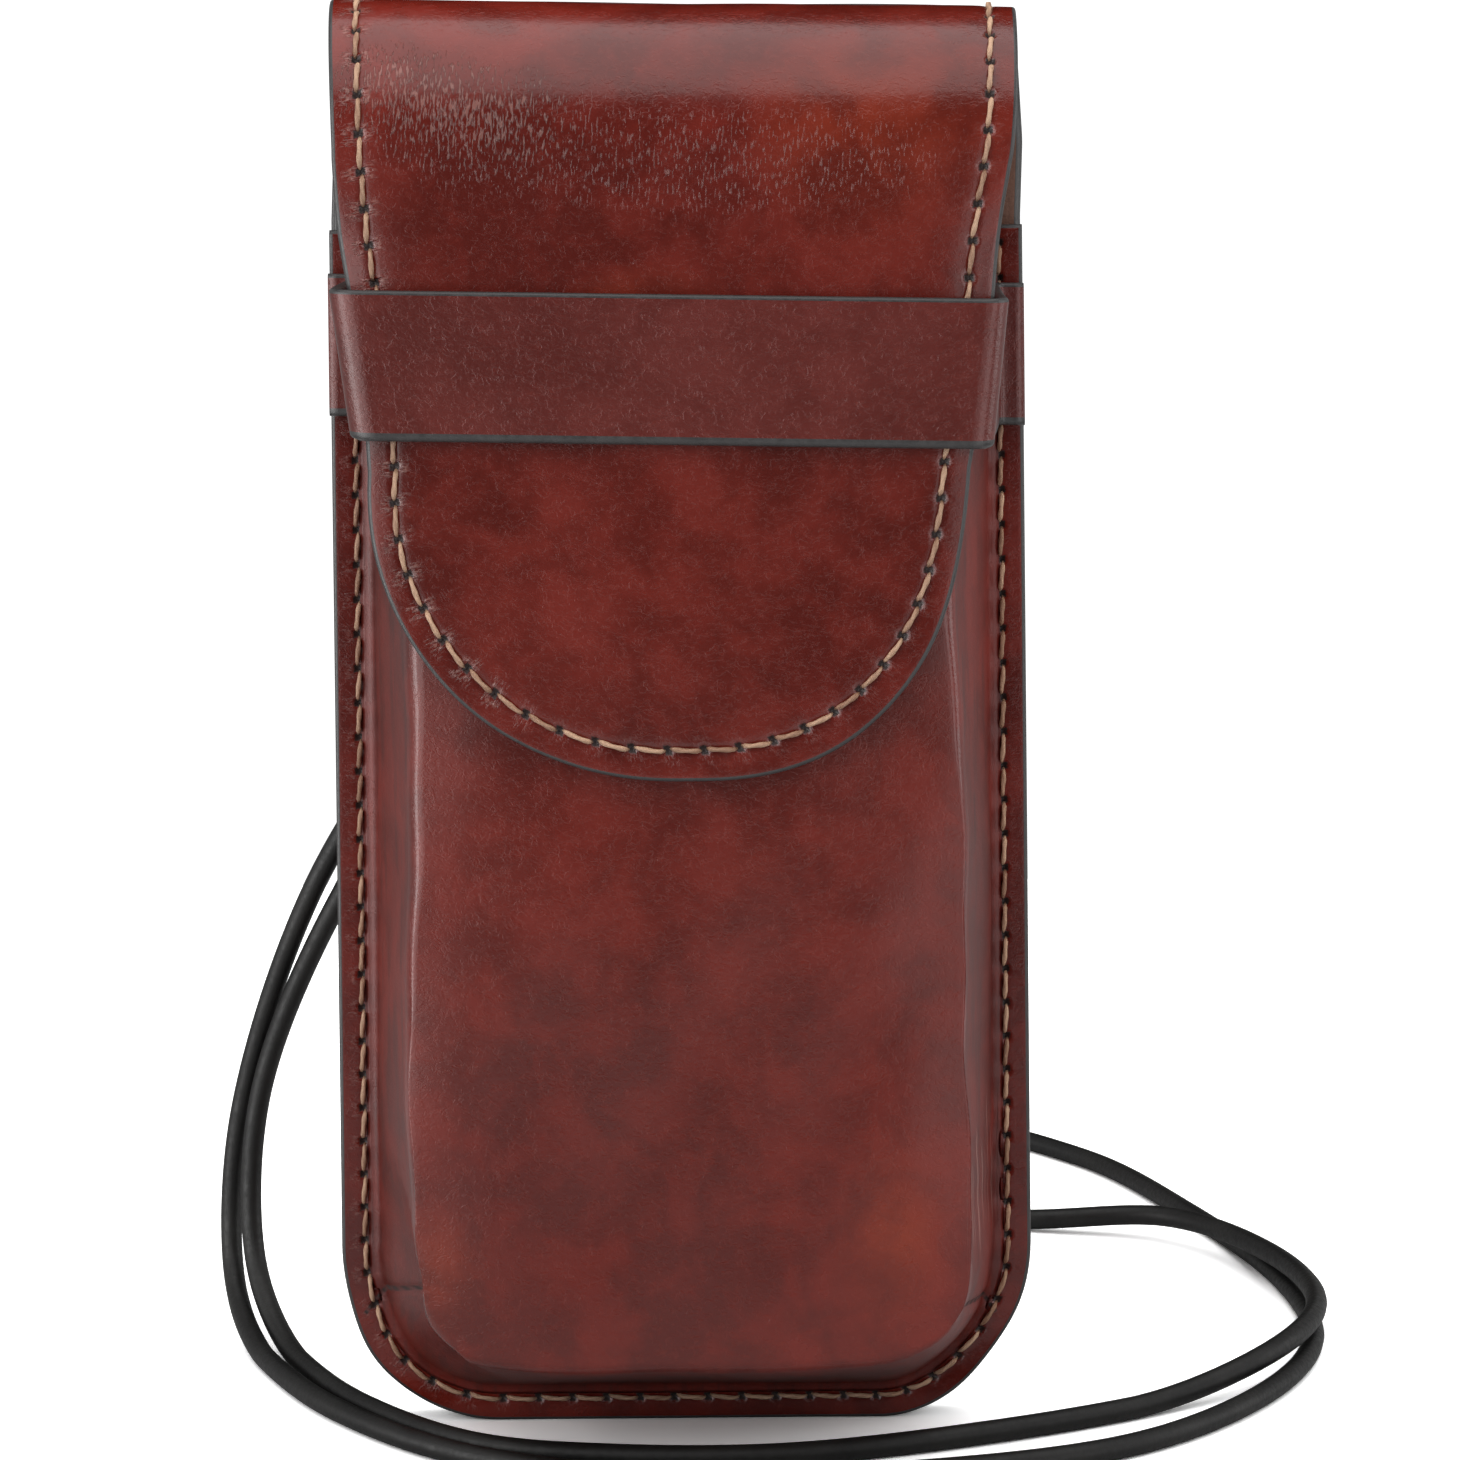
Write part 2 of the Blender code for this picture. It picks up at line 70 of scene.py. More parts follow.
# Outline of the case
HALF_WIDTH = 45.3
HALF_WIDTH_AT_FOLD = 43.6
BOTTOM_FLAT_HALF = 25.0
CORNER_HEIGHT = 24.0
CORNER_POWER = 2.0
CROWN_RADIUS = 17.0
SPRING_Z = 167.0
CROWN_ARC = CROWN_RADIUS * math.pi / 2

# Moulded pouch front
MOUTH_Z = 157.0
POUCH_RISE = 26.2
FLANGE_WIDTH = 5.0
FACE_BOTTOM_Z = 16.6
FACE_BOTTOM_BOW = 0.9
FACE_DOME = 1.3
FACE_CORNER_RADIUS = 15.0
FACE_CORNER_POWER_LEFT = 3.2
FACE_CORNER_POWER_RIGHT = 2.9
FACE_STEPS = 14
WALL_COLUMNS = 20
FOOT_RADIUS = 2.0
SHOULDER_RADIUS_LEFT = 5.0
SHOULDER_RADIUS_RIGHT = 4.0
BOTTOM_SHOULDER_RADIUS = 2.0

# The sewn darts at the lower corners, each from one point x and z to another
DARTS = (((-42.8, 14.9), (-34.2, 26.4)), ((40.2, 14.4), (34.8, 23.6)))
DART_PITCH = 0.95

# Lines worked into the front, as points x and z, half width and height, negative for a groove:
# the darts, and creases in the right wall
FRONT_FOLDS = (
    (DARTS[0], 0.55, -0.30),
    (DARTS[1], 0.55, -0.30),
    (((36.6, 43.0), (40.6, 37.0)), 1.3, -0.16),
    (((36.8, 36.5), (40.6, 31.0)), 1.3, -0.14),
)

# Flap
FLAP_HALF_WIDTH_AT_FOLD = 40.4
FLAP_HALF_WIDTH_AT_TIP = 36.2
TIP_START_Z = 129.5
TIP_LENGTH = 38.0
TIP_POWER = 2.2
TIP_END_HALF = 1.2
EDGE_ROLL_FROM = 31.0
EDGE_ROLL_RADIUS = 24.5
EDGE_ROLL_FADE = 15.0
CROWN_LIFT = 0.87
CROWN_SLANT = 0.0195
CROWN_TRIM = 0.5

# How far the flap hangs to the right, around which height z, and how far up and down from there
FLAP_SKEWS = ((1.3, 90.0, 7.0), (-1.4, 121.0, 17.0), (-0.6, 157.0, 11.0))

# Retaining band
BAND_TOP_Z = 150.5
BAND_BOTTOM_Z = 132.5
BAND_SIDE_CLEARANCE = 0.5
BAND_TAB = 3.4
BAND_TAB_RADIUS = 1.0
BAND_CORNER_RADIUS = 3.2
BAND_SLOPE = 0.022
BAND_LIFT = 0.2
BAND_LEAN = 0.6
BAND_LOWER_ROUND = 0.7

# Patch that holds the cord
PATCH_HALF_WIDTH = 10.0
PATCH_BOTTOM_Z = 147.7
PATCH_TOP_Z = 165.0
PATCH_THICK = 1.4
PATCH_CORNER = 2.5
PATCH_SLOPE = 3.0
PATCH_BULGE = 4.6
PATCH_SEAM_INSET = 1.7
PATCH_EDGE_ROUND = 0.45
PATCH_STANDS_OFF = 0.02

# Neck cord
CORD_DIAMETER = 3.0
CORD_SPACING = 4.4
CORD_EXIT = (-2.2, 18.0, 147.7)
FLOOR_Z = 1.5
OVER_Z = 5.0
CORD_ROUTE = (
    CORD_EXIT, (-2.6, 18.1, 141.0), (-15.0, 26.5, 115.0), (-35.8, 39.2, 90.0),
    (-53.2, 50.0, 62.0), (-64.4, 55.8, 29.0), (-65.4, 51.4, 9.0), (-60.3, 35.6, 2.0),
    (-47.4, 12.0, FLOOR_Z), (-27.6, -6.4, FLOOR_Z), (0.0, -14.9, FLOOR_Z), (30.0, -12.8, FLOOR_Z),
    (57.0, -4.0, FLOOR_Z), (76.4, 14.6, FLOOR_Z), (86.0, 36.0, FLOOR_Z), (85.4, 62.0, FLOOR_Z),
    (75.4, 96.0, FLOOR_Z), (61.8, 125.6, FLOOR_Z), (40.0, 144.4, FLOOR_Z), (19.6, 128.0, FLOOR_Z),
    (24.0, 104.0, FLOOR_Z), (48.0, 92.8, FLOOR_Z), (70.6, 85.4, 4.0), (83.4, 65.0, OVER_Z),
    (87.4, 43.0, OVER_Z), (79.6, 23.4, OVER_Z), (63.0, 12.0, 1.8), (40.0, 1.4, FLOOR_Z),
    (13.0, -6.4, FLOOR_Z), (-9.0, -6.4, FLOOR_Z), (-27.4, -1.8, FLOOR_Z), (-44.6, 14.4, FLOOR_Z),
    (-57.0, 37.4, 2.8), (-62.1, 49.2, 12.0), (-60.8, 53.0, 34.0), (-45.8, 46.2, 67.6),
    (-25.0, 34.2, 96.0), (-4.4, 22.0, 123.0), (2.0, 18.1, 141.0), (2.2, 18.0, 147.7),
)

# Sewing
PITCH = 4.45
SEAM_INSET = 3.1
FLAP_SEAM_INSET = 3.3
THREAD_RADIUS = 0.30
THREAD_START = 0.09
THREAD_SPAN = 0.82
THREAD_TILT = 0.16
THREAD_DIVE = 0.55
THREAD_ARCH = 0.82
CHANNEL_DEPTH = 0.12
CHANNEL_WIDTH = 0.55
HOLE_DEPTH = 0.6
HOLE_WIDTH = 0.6
HOLE_LENGTH = 0.46
STRIP_ROWS = 12
FRONT_ROWS = 11
FINE_POINTS = 6000
EDGE_ROUND = 0.5
EDGE_COLUMNS = (0.0, 0.06, 0.17, 0.33, 0.5, 0.95)
PAINTED_COLUMNS = 4
SEAM_COLUMNS = (-1.1, -0.75, -0.5, -0.25, 0.0, 0.25, 0.5, 0.75, 1.1)
FAR_FROM_SEAM = 9.0

# Camera, in metres, degrees and pixels
CAMERA_PLACE = (0.006, -0.4892, 0.1831)
CAMERA_PITCH = 9.2
CAMERA_ROLL = 0.5
FOCAL_PIXELS = 3950.0
PICTURE_PIXELS = 1460.0
SENSOR = 36.0

# Lights, which all point to one place: their own place in metres, width, height and power
LIT_PLACE = (0.0, 0.0, 0.1)
LIGHTS = {
    "light_above": ((0.0, -0.15, 1.05), 1.5, 1.3, 11.0),
    "light_front_left": ((-0.9, -0.9, 0.75), 0.45, 0.45, 3.5),
    "light_left": ((-1.0, 0.0, 0.35), 0.5, 1.0, 1.6),
    "light_right": ((1.0, 0.05, 0.35), 0.5, 1.0, 3.9),
}

# Panels that show in the gloss of the leather and light nothing
PANELS = {
    "panel_left": ((-0.76, -0.72, 0.0), 0.80, 1.2, 7.0),
    "panel_side_left": ((-0.96, -0.36, 0.0), 0.40, 1.2, 7.5),
    "panel_right": ((0.80, -0.66, 0.0), 0.5, 1.2, 4.3),
    "panel_front_left": ((-0.36, -0.94, -0.15), 0.26, 1.0, 0.5),
    "panel_front_right": ((0.40, -0.92, -0.15), 0.30, 1.0, 1.05),
    "panel_front_low": ((0.0, -0.95, -0.45), 0.44, 0.5, 0.6),
    "panel_behind_left": ((-0.70, 0.70, 0.10), 1.2, 1.2, 1.6),
    "panel_behind_right": ((0.70, 0.70, 0.10), 1.2, 1.2, 1.8),
}

# Colours
FLOOR_WHITE = (1.5, 1.5, 1.5, 1.0)
FLOOR_GREY = (0.42, 0.42, 0.42, 1.0)
DEEP = (0.090, 0.0074, 0.0040, 1.0)
MIDDLE = (0.168, 0.0120, 0.0054, 1.0)
BAND_MIDDLE = (0.126, 0.0104, 0.0056, 1.0)
WARM = (0.255, 0.0290, 0.0066, 1.0)
# Lines and flecks of the grain: partly a lighter tone, partly a painted glint
CREASE_TONE_AND_GLINT = (0.34, 0.050, 0.026, 1.0)
# Pale colour of the painted glints on streaks and puckers
PAINTED_GLINT = (0.46, 0.27, 0.23, 1.0)
# Painted shade of fine wrinkles in the walls
WRINKLE_SHADE = (0.030, 0.008, 0.007, 1.0)
# Painted shade inside the needle holes, also given to the darts' dotted lines
HOLE_SHADE_DARK = (0.024, 0.009, 0.007, 1.0)

# Soft round patches of warmer or deeper dye, and of crinkled leather, whose streaks also carry a painted
# highlight: centre, half sizes and strength
FLAP_PATCHES = ((-5.0, 45.0, 9.0, 6.0, 0.5), (22.0, 24.0, 13.0, 9.0, 0.5), (-16.0, 30.0, 22.0, 14.0, -0.35))
FLAP_CRINKLES = ((-23.0, 22.0, 8.0, 4.5, 0.9), (-33.0, 18.5, 6.0, 4.0, 0.9), (5.0, 27.0, 26.0, 6.0, 0.2))
FRONT_PATCHES = ((26.0, 33.0, 5.0, 8.0, 0.7), (-31.0, 29.0, 4.0, 6.0, 0.5))
FRONT_CRINKLES = ((39.0, 36.0, 3.0, 8.0, 0.5),)
BACK_PATCHES = ((12.0, -110.0, 20.0, 26.0, 0.4),)
BAND_PATCHES = ((0.0, 9.0, 30.0, 12.0, -0.2),)

# On the middle line the rows of a sheet stay level down to the first of these distances from its lower
# end, and from there they are spread evenly to the second
FLAP_MIDDLE = (48.0, 15.0)
BACK_MIDDLE = (60.0, 20.0)
FACE_MIDDLE = (60.0, 34.0)

# The seam of the flap lies this much deeper at the tip, over these distances from the tip's end
TIP_SEAM_DEEPER = 0.6
TIP_SEAM_FROM = 30.0
TIP_SEAM_FADE = 26.0

# The grain of the band and of the patch is taken from elsewhere on the hide, in metres
BAND_ON_HIDE = 0.31
PATCH_ON_HIDE = 0.3

# Angles round the crown between which the strip would bend when a fold opens; they are kept with each strip,
# and nothing here reads them.
BACK_BEND = (15.0, 75.0)
FRONT_BEND = (105.0, 165.0)

Edge = namedtuple("Edge", "where inward seam_step stitches")
Strip = namedtuple("Strip", "edge inset side middle seed first_body second_body angles")


# Small sums


def unit(vectors, least=0.0):
    """Vectors brought to length 1. A small least length keeps a vector of no length from spoiling it."""
    return vectors / (np.linalg.norm(vectors, axis=-1, keepdims=True) + least)


def step_up(value):
    value = np.clip(value, 0, 1)
    return value * value * (3 - 2 * value)


def bell(distance, reach):
    """A bell curve of a distance, 1 in its middle."""
    return np.exp(-((distance / reach) ** 2))


def run_along(line):
    """The distance along a line at each of its points."""
    return np.append(0, np.cumsum(np.linalg.norm(np.diff(line, axis=0), axis=1)))


def read_off(wanted, run, line):
    """Points of a line at wanted distances, where run gives the distance of each of its own points."""
    return np.stack([np.interp(wanted, run, column) for column in line.T], axis=-1)


def even_line(line, count):
    """The line resampled at equal steps."""
    run = run_along(line)
    return read_off(np.linspace(0, run[-1], count), run, line)


# Camera, floor and lights


def aim(item, place, forward, roll=0.0):
    """Puts a camera or light at a place in metres, looking along forward, rolled by an angle."""
    forward = unit(np.asarray(forward, float))
    right = unit(np.cross(forward, (0.0, 0.0, 1.0)))
    up = np.cross(right, forward)
    turned_right = math.cos(roll) * right - math.sin(roll) * up
    turned_up = math.sin(roll) * right + math.cos(roll) * up
    columns = np.eye(4)
    columns[:3] = np.stack([turned_right, turned_up, -forward, np.array(place)], axis=1)
    item.matrix_world = Matrix(columns.tolist())


def add_object(name, data):
    item = bpy.data.objects.new(name, data)
    bpy.context.scene.collection.objects.link(item)
    return item


def photo_camera():
    data = bpy.data.cameras.new("camera")
    data.sensor_width = SENSOR
    data.lens = SENSOR * FOCAL_PIXELS / PICTURE_PIXELS
    data.shift_y = -0.05
    data.clip_start = 0.01
    data.clip_end = 100.0
    camera = add_object("camera", data)
    pitch = math.radians(CAMERA_PITCH)
    aim(camera, CAMERA_PLACE, (0, math.cos(pitch), -math.sin(pitch)), math.radians(CAMERA_ROLL))
    bpy.context.scene.camera = camera


def softbox(name, place, width, height, power, mirrored_only):
    """A soft light facing the case. A panel that is mirrored only shows in the gloss and lights nothing."""
    data = bpy.data.lights.new(name, "AREA")
    data.shape = "RECTANGLE"
    data.size = width
    data.size_y = height
    data.energy = power
    light = add_object(name, data)
    light.visible_diffuse = not mirrored_only
    light.visible_camera = not mirrored_only
    aim(light, place, np.subtract(LIT_PLACE, place))


def studio():
    """A small white table under soft light. What the leather mirrors is dark, apart from the panels."""
    left, right, front, behind = -0.16, 0.22, -0.13, 0.34
    corners = [(left, front, 0), (right, front, 0), (right, behind, 0), (left, behind, 0)]
    mesh = bpy.data.meshes.new("floor")
    mesh.from_pydata(corners, [], [(0, 1, 2, 3)])
    floor = add_object("floor", mesh)
    paper = bpy.data.materials.new("pale_floor")
    paper.use_nodes = True
    tree = paper.node_tree
    tree.nodes.remove(tree.nodes["Principled BSDF"])
    rays = put(tree, "ShaderNodeLightPath").outputs
    white = mingle(rays["Is Camera Ray"], FLOOR_GREY, FLOOR_WHITE)
    white = mingle(rays["Is Glossy Ray"], white, FLOOR_GREY)
    matt = put(tree, "ShaderNodeBsdfDiffuse", {"Color": white})
    feed(tree.nodes["Material Output"], {"Surface": matt.outputs["BSDF"]})
    mesh.materials.append(paper)

    for name, light in LIGHTS.items():
        softbox(name, *light, mirrored_only=False)
    for name, panel in PANELS.items():
        softbox(name, *panel, mirrored_only=True)

    world = bpy.data.worlds.new("studio")
    world.use_nodes = True
    rays = put(world.node_tree, "ShaderNodeLightPath").outputs
    strength = times_plus(rays["Is Camera Ray"], 0.5, 0.7)
    strength = times_plus(rays["Is Glossy Ray"], -0.7, strength)
    feed(world.node_tree.nodes["Background"], {"Strength": strength, "Color": (1.0, 1.0, 1.0, 1.0)})
    bpy.context.scene.world = world


# Node helpers. Those that are given a socket first add their node to the tree that the socket is in


def feed(item, inputs):
    """Sets a node's inputs, or links them where the value is another node's socket."""
    for key, value in inputs.items():
        if isinstance(value, bpy.types.NodeSocket):
            item.id_data.links.new(value, item.inputs[key])
        else:
            item.inputs[key].default_value = value
    return item


def put(tree, kind, inputs=None, **options):
    """Adds a node, sets its options, and sets or links its inputs."""
    item = tree.nodes.new(kind)
    for key, value in options.items():
        setattr(item, key, value)
    return feed(item, inputs or {})


def figure(operation, first, second=0.0, third=0.0):
    """A Math node's result."""
    inputs = {0: first, 1: second, 2: third}
    return put(first.id_data, "ShaderNodeMath", inputs, operation=operation).outputs[0]


def plus(first, second):
    return figure("ADD", first, second)


def times(first, second):
    return figure("MULTIPLY", first, second)


def times_plus(first, second, third):
    return figure("MULTIPLY_ADD", first, second, third)


def vector(operation, first, second):
    """A Vector Math node's result: a number for a dot product, and otherwise a vector."""
    inputs = {0: first, "Scale" if operation == "SCALE" else 1: second}
    made = put(first.id_data, "ShaderNodeVectorMath", inputs, operation=operation)
    return made.outputs["Value" if operation == "DOT_PRODUCT" else "Vector"]


def ramp(value, low, high, to_low=0.0, to_high=1.0, kind="SMOOTHSTEP"):
    """A value carried from one span to another, held at its ends."""
    inputs = {"Value": value, "From Min": low, "From Max": high, "To Min": to_low, "To Max": to_high}
    return put(value.id_data, "ShaderNodeMapRange", inputs, interpolation_type=kind).outputs["Result"]


def spread(value, to_low=0.0, to_high=1.0):
    """A value from 0 to 1 carried evenly to another span, held at its ends."""
    return ramp(value, 0.0, 1.0, to_low, to_high, "LINEAR")


def mingle(share, first, second):
    """Two colours mixed by a share."""
    inputs = {0: share, 6: first, 7: second}
    return put(share.id_data, "ShaderNodeMix", inputs, data_type="RGBA").outputs[2]


def clouds(place, scale, detail=3.0, roughness=0.5, distortion=0.0, output="Fac"):
    inputs = {
        "Vector": place, "Scale": scale, "Detail": detail, "Roughness": roughness, "Distortion": distortion
    }
    return put(place.id_data, "ShaderNodeTexNoise", inputs).outputs[output]


def stretched(place, scale, turn=0.0):
    """A place scaled along each axis, and turned about the third by an angle."""
    inputs = {"Vector": place, "Scale": scale, "Rotation": (0.0, 0.0, turn)}
    return put(place.id_data, "ShaderNodeMapping", inputs).outputs["Vector"]


def attribute(tree, name, output="Vector"):
    return put(tree, "ShaderNodeAttribute", attribute_name=name).outputs[output]


# Kinds of the sockets of the groups. All others are plain numbers
SOCKET_KINDS = {"Hide": "Vector", "Seam": "Vector"}
SOCKET_KINDS.update(dict.fromkeys(("Deep", "Middle", "Warm", "Color"), "Color"))


def new_group(name, inputs, outputs):
    tree = bpy.data.node_groups.new(name, "ShaderNodeTree")
    for labels, side in ((inputs, "INPUT"), (outputs, "OUTPUT")):
        for label in labels:
            kind = "NodeSocket" + SOCKET_KINDS.get(label, "Float")
            tree.interface.new_socket(label, in_out=side, socket_type=kind)
    return tree, tree.nodes.new("NodeGroupInput").outputs, tree.nodes.new("NodeGroupOutput")


def place_group(tree, group, inputs):
    return put(tree, "ShaderNodeGroup", inputs, node_tree=group).outputs


# Effects shared by the leathers


def rubbed_colour_group():
    """Hand-rubbed dye: broad clouds between a deep and a middle red, and warm patches."""
    inputs = ("Hide", "Deep", "Middle", "Warm", "Patch")
    tree, given, result = new_group("rubbed_dye", inputs, ("Color", "Cloud"))
    broad = clouds(given["Hide"], 24.0, 3.0, 0.5, 0.4)
    small = clouds(given["Hide"], 120.0, 4.0, 0.55, 0.3)
    cloud = plus(ramp(broad, 0.3, 0.7, 0.05, 0.65), ramp(small, 0.32, 0.68, -0.25, 0.45))
    cloud = plus(cloud, figure("MINIMUM", given["Patch"], 0.0))
    dye = mingle(spread(cloud), given["Deep"], given["Middle"])
    warmth = times(given["Patch"], ramp(small, 0.32, 0.62, 0.35, 1.0))
    feed(result, {"Color": mingle(spread(warmth), dye, given["Warm"]), "Cloud": cloud})
    return tree


def creases_group():
    """Fine creases of the grain: edges of small wandering cells, broken up by a slower noise.

    Where the leather is crinkled by a bend, streaks run across the bend as well; their mask also carries a
    painted highlight.
    """
    inputs = ("Hide", "Crinkle", "Crease Scale", "Crease Depth", "Pebble Scale", "Pebble Depth")
    tree, given, result = new_group("fine_creases", inputs, ("Height", "Lines", "Streaks"))
    hide, crinkle = given["Hide"], given["Crinkle"]
    drift = clouds(hide, 420.0, 3.0, 0.6, output="Color")
    drift = vector("SCALE", vector("SUBTRACT", drift, (0.5, 0.5, 0.5)), 0.0032)
    wandering = vector("ADD", hide, drift)
    inputs = {"Vector": wandering, "Scale": given["Crease Scale"]}
    cells = put(tree, "ShaderNodeTexVoronoi", inputs, feature="DISTANCE_TO_EDGE").outputs["Distance"]
    broken = ramp(clouds(hide, 700.0, 3.0, 0.6), 0.46, 0.6, 0.12, 1.0)
    lines = times(ramp(cells, 0.0, 0.16, 1.0, 0.0), broken)
    flecks = ramp(clouds(stretched(wandering, (700.0, 2000.0, 2000.0), 0.35), 1.0, 2.0, 0.6), 0.52, 0.68)
    streaks = clouds(stretched(hide, (3600.0, 800.0, 0.0), 0.12), 1.0, 2.0, 0.5)
    streaks = ramp(times_plus(crinkle, 0.14, streaks), 0.60, 0.72)
    streaks = times(streaks, ramp(crinkle, 0.0, 0.3))
    height = times(clouds(hide, given["Pebble Scale"], 3.0, 0.6), given["Pebble Depth"])
    height = times_plus(streaks, 0.16, height)
    height = times_plus(flecks, 0.014, height)
    height = times_plus(lines, times(given["Crease Depth"], -1.0), height)
    feed(result, {"Height": height, "Lines": plus(lines, flecks), "Streaks": streaks})
    return tree


def puckers_group():
    """Needle holes between the stitches: a bar across the seam, coloured dark as painted shade, with a
    raised lip on each side.

    Beside the seam the leather is puckered, and a pale painted highlight shows where the puckers glint.
    """
    tree, given, result = new_group("sewing_holes", ("Seam", "Lip"), ("Height", "Hole", "Painted Glint"))
    parts = put(tree, "ShaderNodeSeparateXYZ", {0: given["Seam"]}).outputs
    across = parts["Y"]
    along = figure("SUBTRACT", figure("FRACT", parts["X"]), 0.5)
    along = figure("ABSOLUTE", times_plus(across, 0.12, times(along, PITCH)))
    away = figure("ABSOLUTE", across)
    ragged = clouds(stretched(given["Seam"], (PITCH, 1.0, 0.0)), 2.2, 2.0, 0.6)
    hole = times(
        ramp(times_plus(ragged, 0.3, along), 0.50, 0.70, 1.0, 0.0),
        ramp(times_plus(ragged, 0.4, away), 0.66, 0.90, 1.0, 0.0),
    )
    lip = times(ramp(along, 0.38, 0.55), ramp(along, 0.55, 0.85, 1.0, 0.0))
    reach = ramp(times_plus(ragged, 1.6, away), 1.3, 2.3, 1.0, 0.0)
    stripes = clouds(stretched(given["Seam"], (PITCH * 3.4, 0.8, 0.0)), 1.0, 2.0, 0.6)
    puckers = times(
        times(ramp(stripes, 0.54, 0.64), ramp(along, 0.8, 1.6, 1.0, 0.0)),
        times(ramp(across, -0.9, -0.3, 1.0, 0.5), ramp(away, 1.3, 2.4, 1.0, 0.0)),
    )
    raised = times(figure("MAXIMUM", times(lip, reach), puckers), parts["Z"])
    glint = clouds(stretched(given["Seam"], (PITCH * 3.2, 1.1, 0.0)), 1.0, 2.0, 0.6)
    beside = times(ramp(away, 0.5, 0.8), ramp(away, 1.1, 1.9, 1.0, 0.0))
    beside = times(beside, ramp(along, 0.75, 1.15, 1.0, 0.0))
    # Painted highlight: pale glints on the puckers and just beside the holes
    pale = times(figure("MAXIMUM", puckers, times(beside, ramp(glint, 0.5, 0.6))), parts["Z"])
    feed(result, {"Height": times(raised, given["Lip"]), "Hole": hole, "Painted Glint": pale})
    return tree


def darts_group():
    """Sewn darts: dark dotted lines between pairs of points x and z on the front."""
    tree, given, result = new_group("sewn_darts", ("Hide",), ("Dark",))
    lines = []
    for (x0, z0), (x1, z1) in DARTS:
        length = math.hypot(x1 - x0, z1 - z0)
        ax, az = (x1 - x0) / length, (z1 - z0) / length
        place = vector("SUBTRACT", given["Hide"], (x0 * MM, 0.0, z0 * MM))
        along = vector("DOT_PRODUCT", place, (ax / MM, 0.0, az / MM))
        off = vector("DOT_PRODUCT", place, (-az / MM, 0.0, ax / MM))
        line = times(ramp(figure("ABSOLUTE", off), 0.16, 0.38, 1.0, 0.0), ramp(along, -0.2, 0.2))
        line = times(line, ramp(along, length - 0.2, length + 0.2, 1.0, 0.0))
        beat = figure("SINE", times(along, 2 * math.pi / DART_PITCH))
        lines.append(times(line, times_plus(beat, 0.3, 0.7)))
    feed(result, {"Dark": plus(*lines)})
    return tree


# Materials


def start_material(name):
    material = bpy.data.materials.new(name)
    material.use_nodes = True
    return material, material.node_tree, material.node_tree.nodes["Principled BSDF"]


def cover(shader, height, strength, distance, inputs):
    """Gives the shader its inputs, and a bump from a height."""
    bump = {"Height": height, "Strength": strength, "Distance": distance}
    normal = put(shader.id_data, "ShaderNodeBump", bump).outputs["Normal"]
    feed(shader, {"Normal": normal, **inputs})


def leather_material(name, groups, middle, roughness, crease, pebble, lip, coat, darts=False):
    """Glossy dyed leather. Its grain follows the flat hide, and its seams are marked by the sewing.

    roughness is that of deep and of middle dye. crease and pebble are a scale and a depth each. With
    darts, the walls of the moulded front are duller and carry dark streaks, a painted shade of fine
    wrinkles.
    """
    dye_group, crease_group, hole_group, dart_group = groups
    material, tree, shader = start_material(name)
    hide = attribute(tree, "hide")
    inputs = {"Hide": hide, "Deep": DEEP, "Middle": middle, "Warm": WARM}
    dye = place_group(tree, dye_group, {**inputs, "Patch": attribute(tree, "patch", "Fac")})
    inputs = {"Hide": hide, "Crinkle": attribute(tree, "crinkle", "Fac")}
    for label, (scale, depth) in (("Crease", crease), ("Pebble", pebble)):
        inputs[label + " Scale"] = scale
        inputs[label + " Depth"] = depth
    creases = place_group(tree, crease_group, inputs)
    sewn = place_group(tree, hole_group, {"Seam": attribute(tree, "seam"), "Lip": lip})
    # Grain lines and flecks: partly a lighter tone of the cell walls, partly a painted glint on the crease
    # flanks
    colour = mingle(times(creases["Lines"], 0.05), dye["Color"], CREASE_TONE_AND_GLINT)
    # Painted highlight: pale glints along the streaks of crinkled leather
    colour = mingle(times(creases["Streaks"], 0.28), colour, PAINTED_GLINT)
    # Painted highlight: pale glints round the needle holes
    colour = mingle(times(sewn["Painted Glint"], 2.6 * lip), colour, PAINTED_GLINT)
    # The needle holes are coloured dark as painted shade; the darts' dotted lines get the same dark
    marked = sewn["Hole"]
    gloss = spread(dye["Cloud"], *roughness)
    if darts:
        wall = attribute(tree, "wall", "Fac")
        gloss = times_plus(wall, 0.20, gloss)
        coat = spread(wall, coat, 0.02)
        # Painted shade: dark vertical streaks on the walls stand for the shade in fine wrinkles
        wrinkle_shade = clouds(stretched(hide, (1300.0, 260.0, 45.0)), 1.0, 2.0, 0.6)
        wrinkle_shade = times(ramp(wrinkle_shade, 0.5, 0.62), wall)
        colour = mingle(times(wrinkle_shade, 0.3), colour, WRINKLE_SHADE)
        marked = figure("MAXIMUM", marked, place_group(tree, dart_group, {"Hide": hide})["Dark"])
    inputs = {
        "Base Color": mingle(marked, colour, HOLE_SHADE_DARK),
        "Roughness": times_plus(marked, 0.5, gloss),
        "Coat Weight": coat,
        "Coat Roughness": 0.15,
        "Coat IOR": 1.4,
        "Specular IOR Level": 0.42,
    }
    cover(shader, plus(creases["Height"], sewn["Height"]), 1.0, MM, inputs)
    return material


def edge_paint():
    material, tree, shader = start_material("painted_edge")
    streak = clouds(put(tree, "ShaderNodeTexCoord").outputs["Object"], 700.0, 4.0, 0.6)
    paint = mingle(streak, (0.022, 0.020, 0.020, 1.0), (0.048, 0.044, 0.044, 1.0))
    inputs = {"Base Color": paint, "Roughness": ramp(streak, 0.3, 0.7, 0.34, 0.5)}
    cover(shader, streak, 0.5, 0.0001, inputs)
    return material


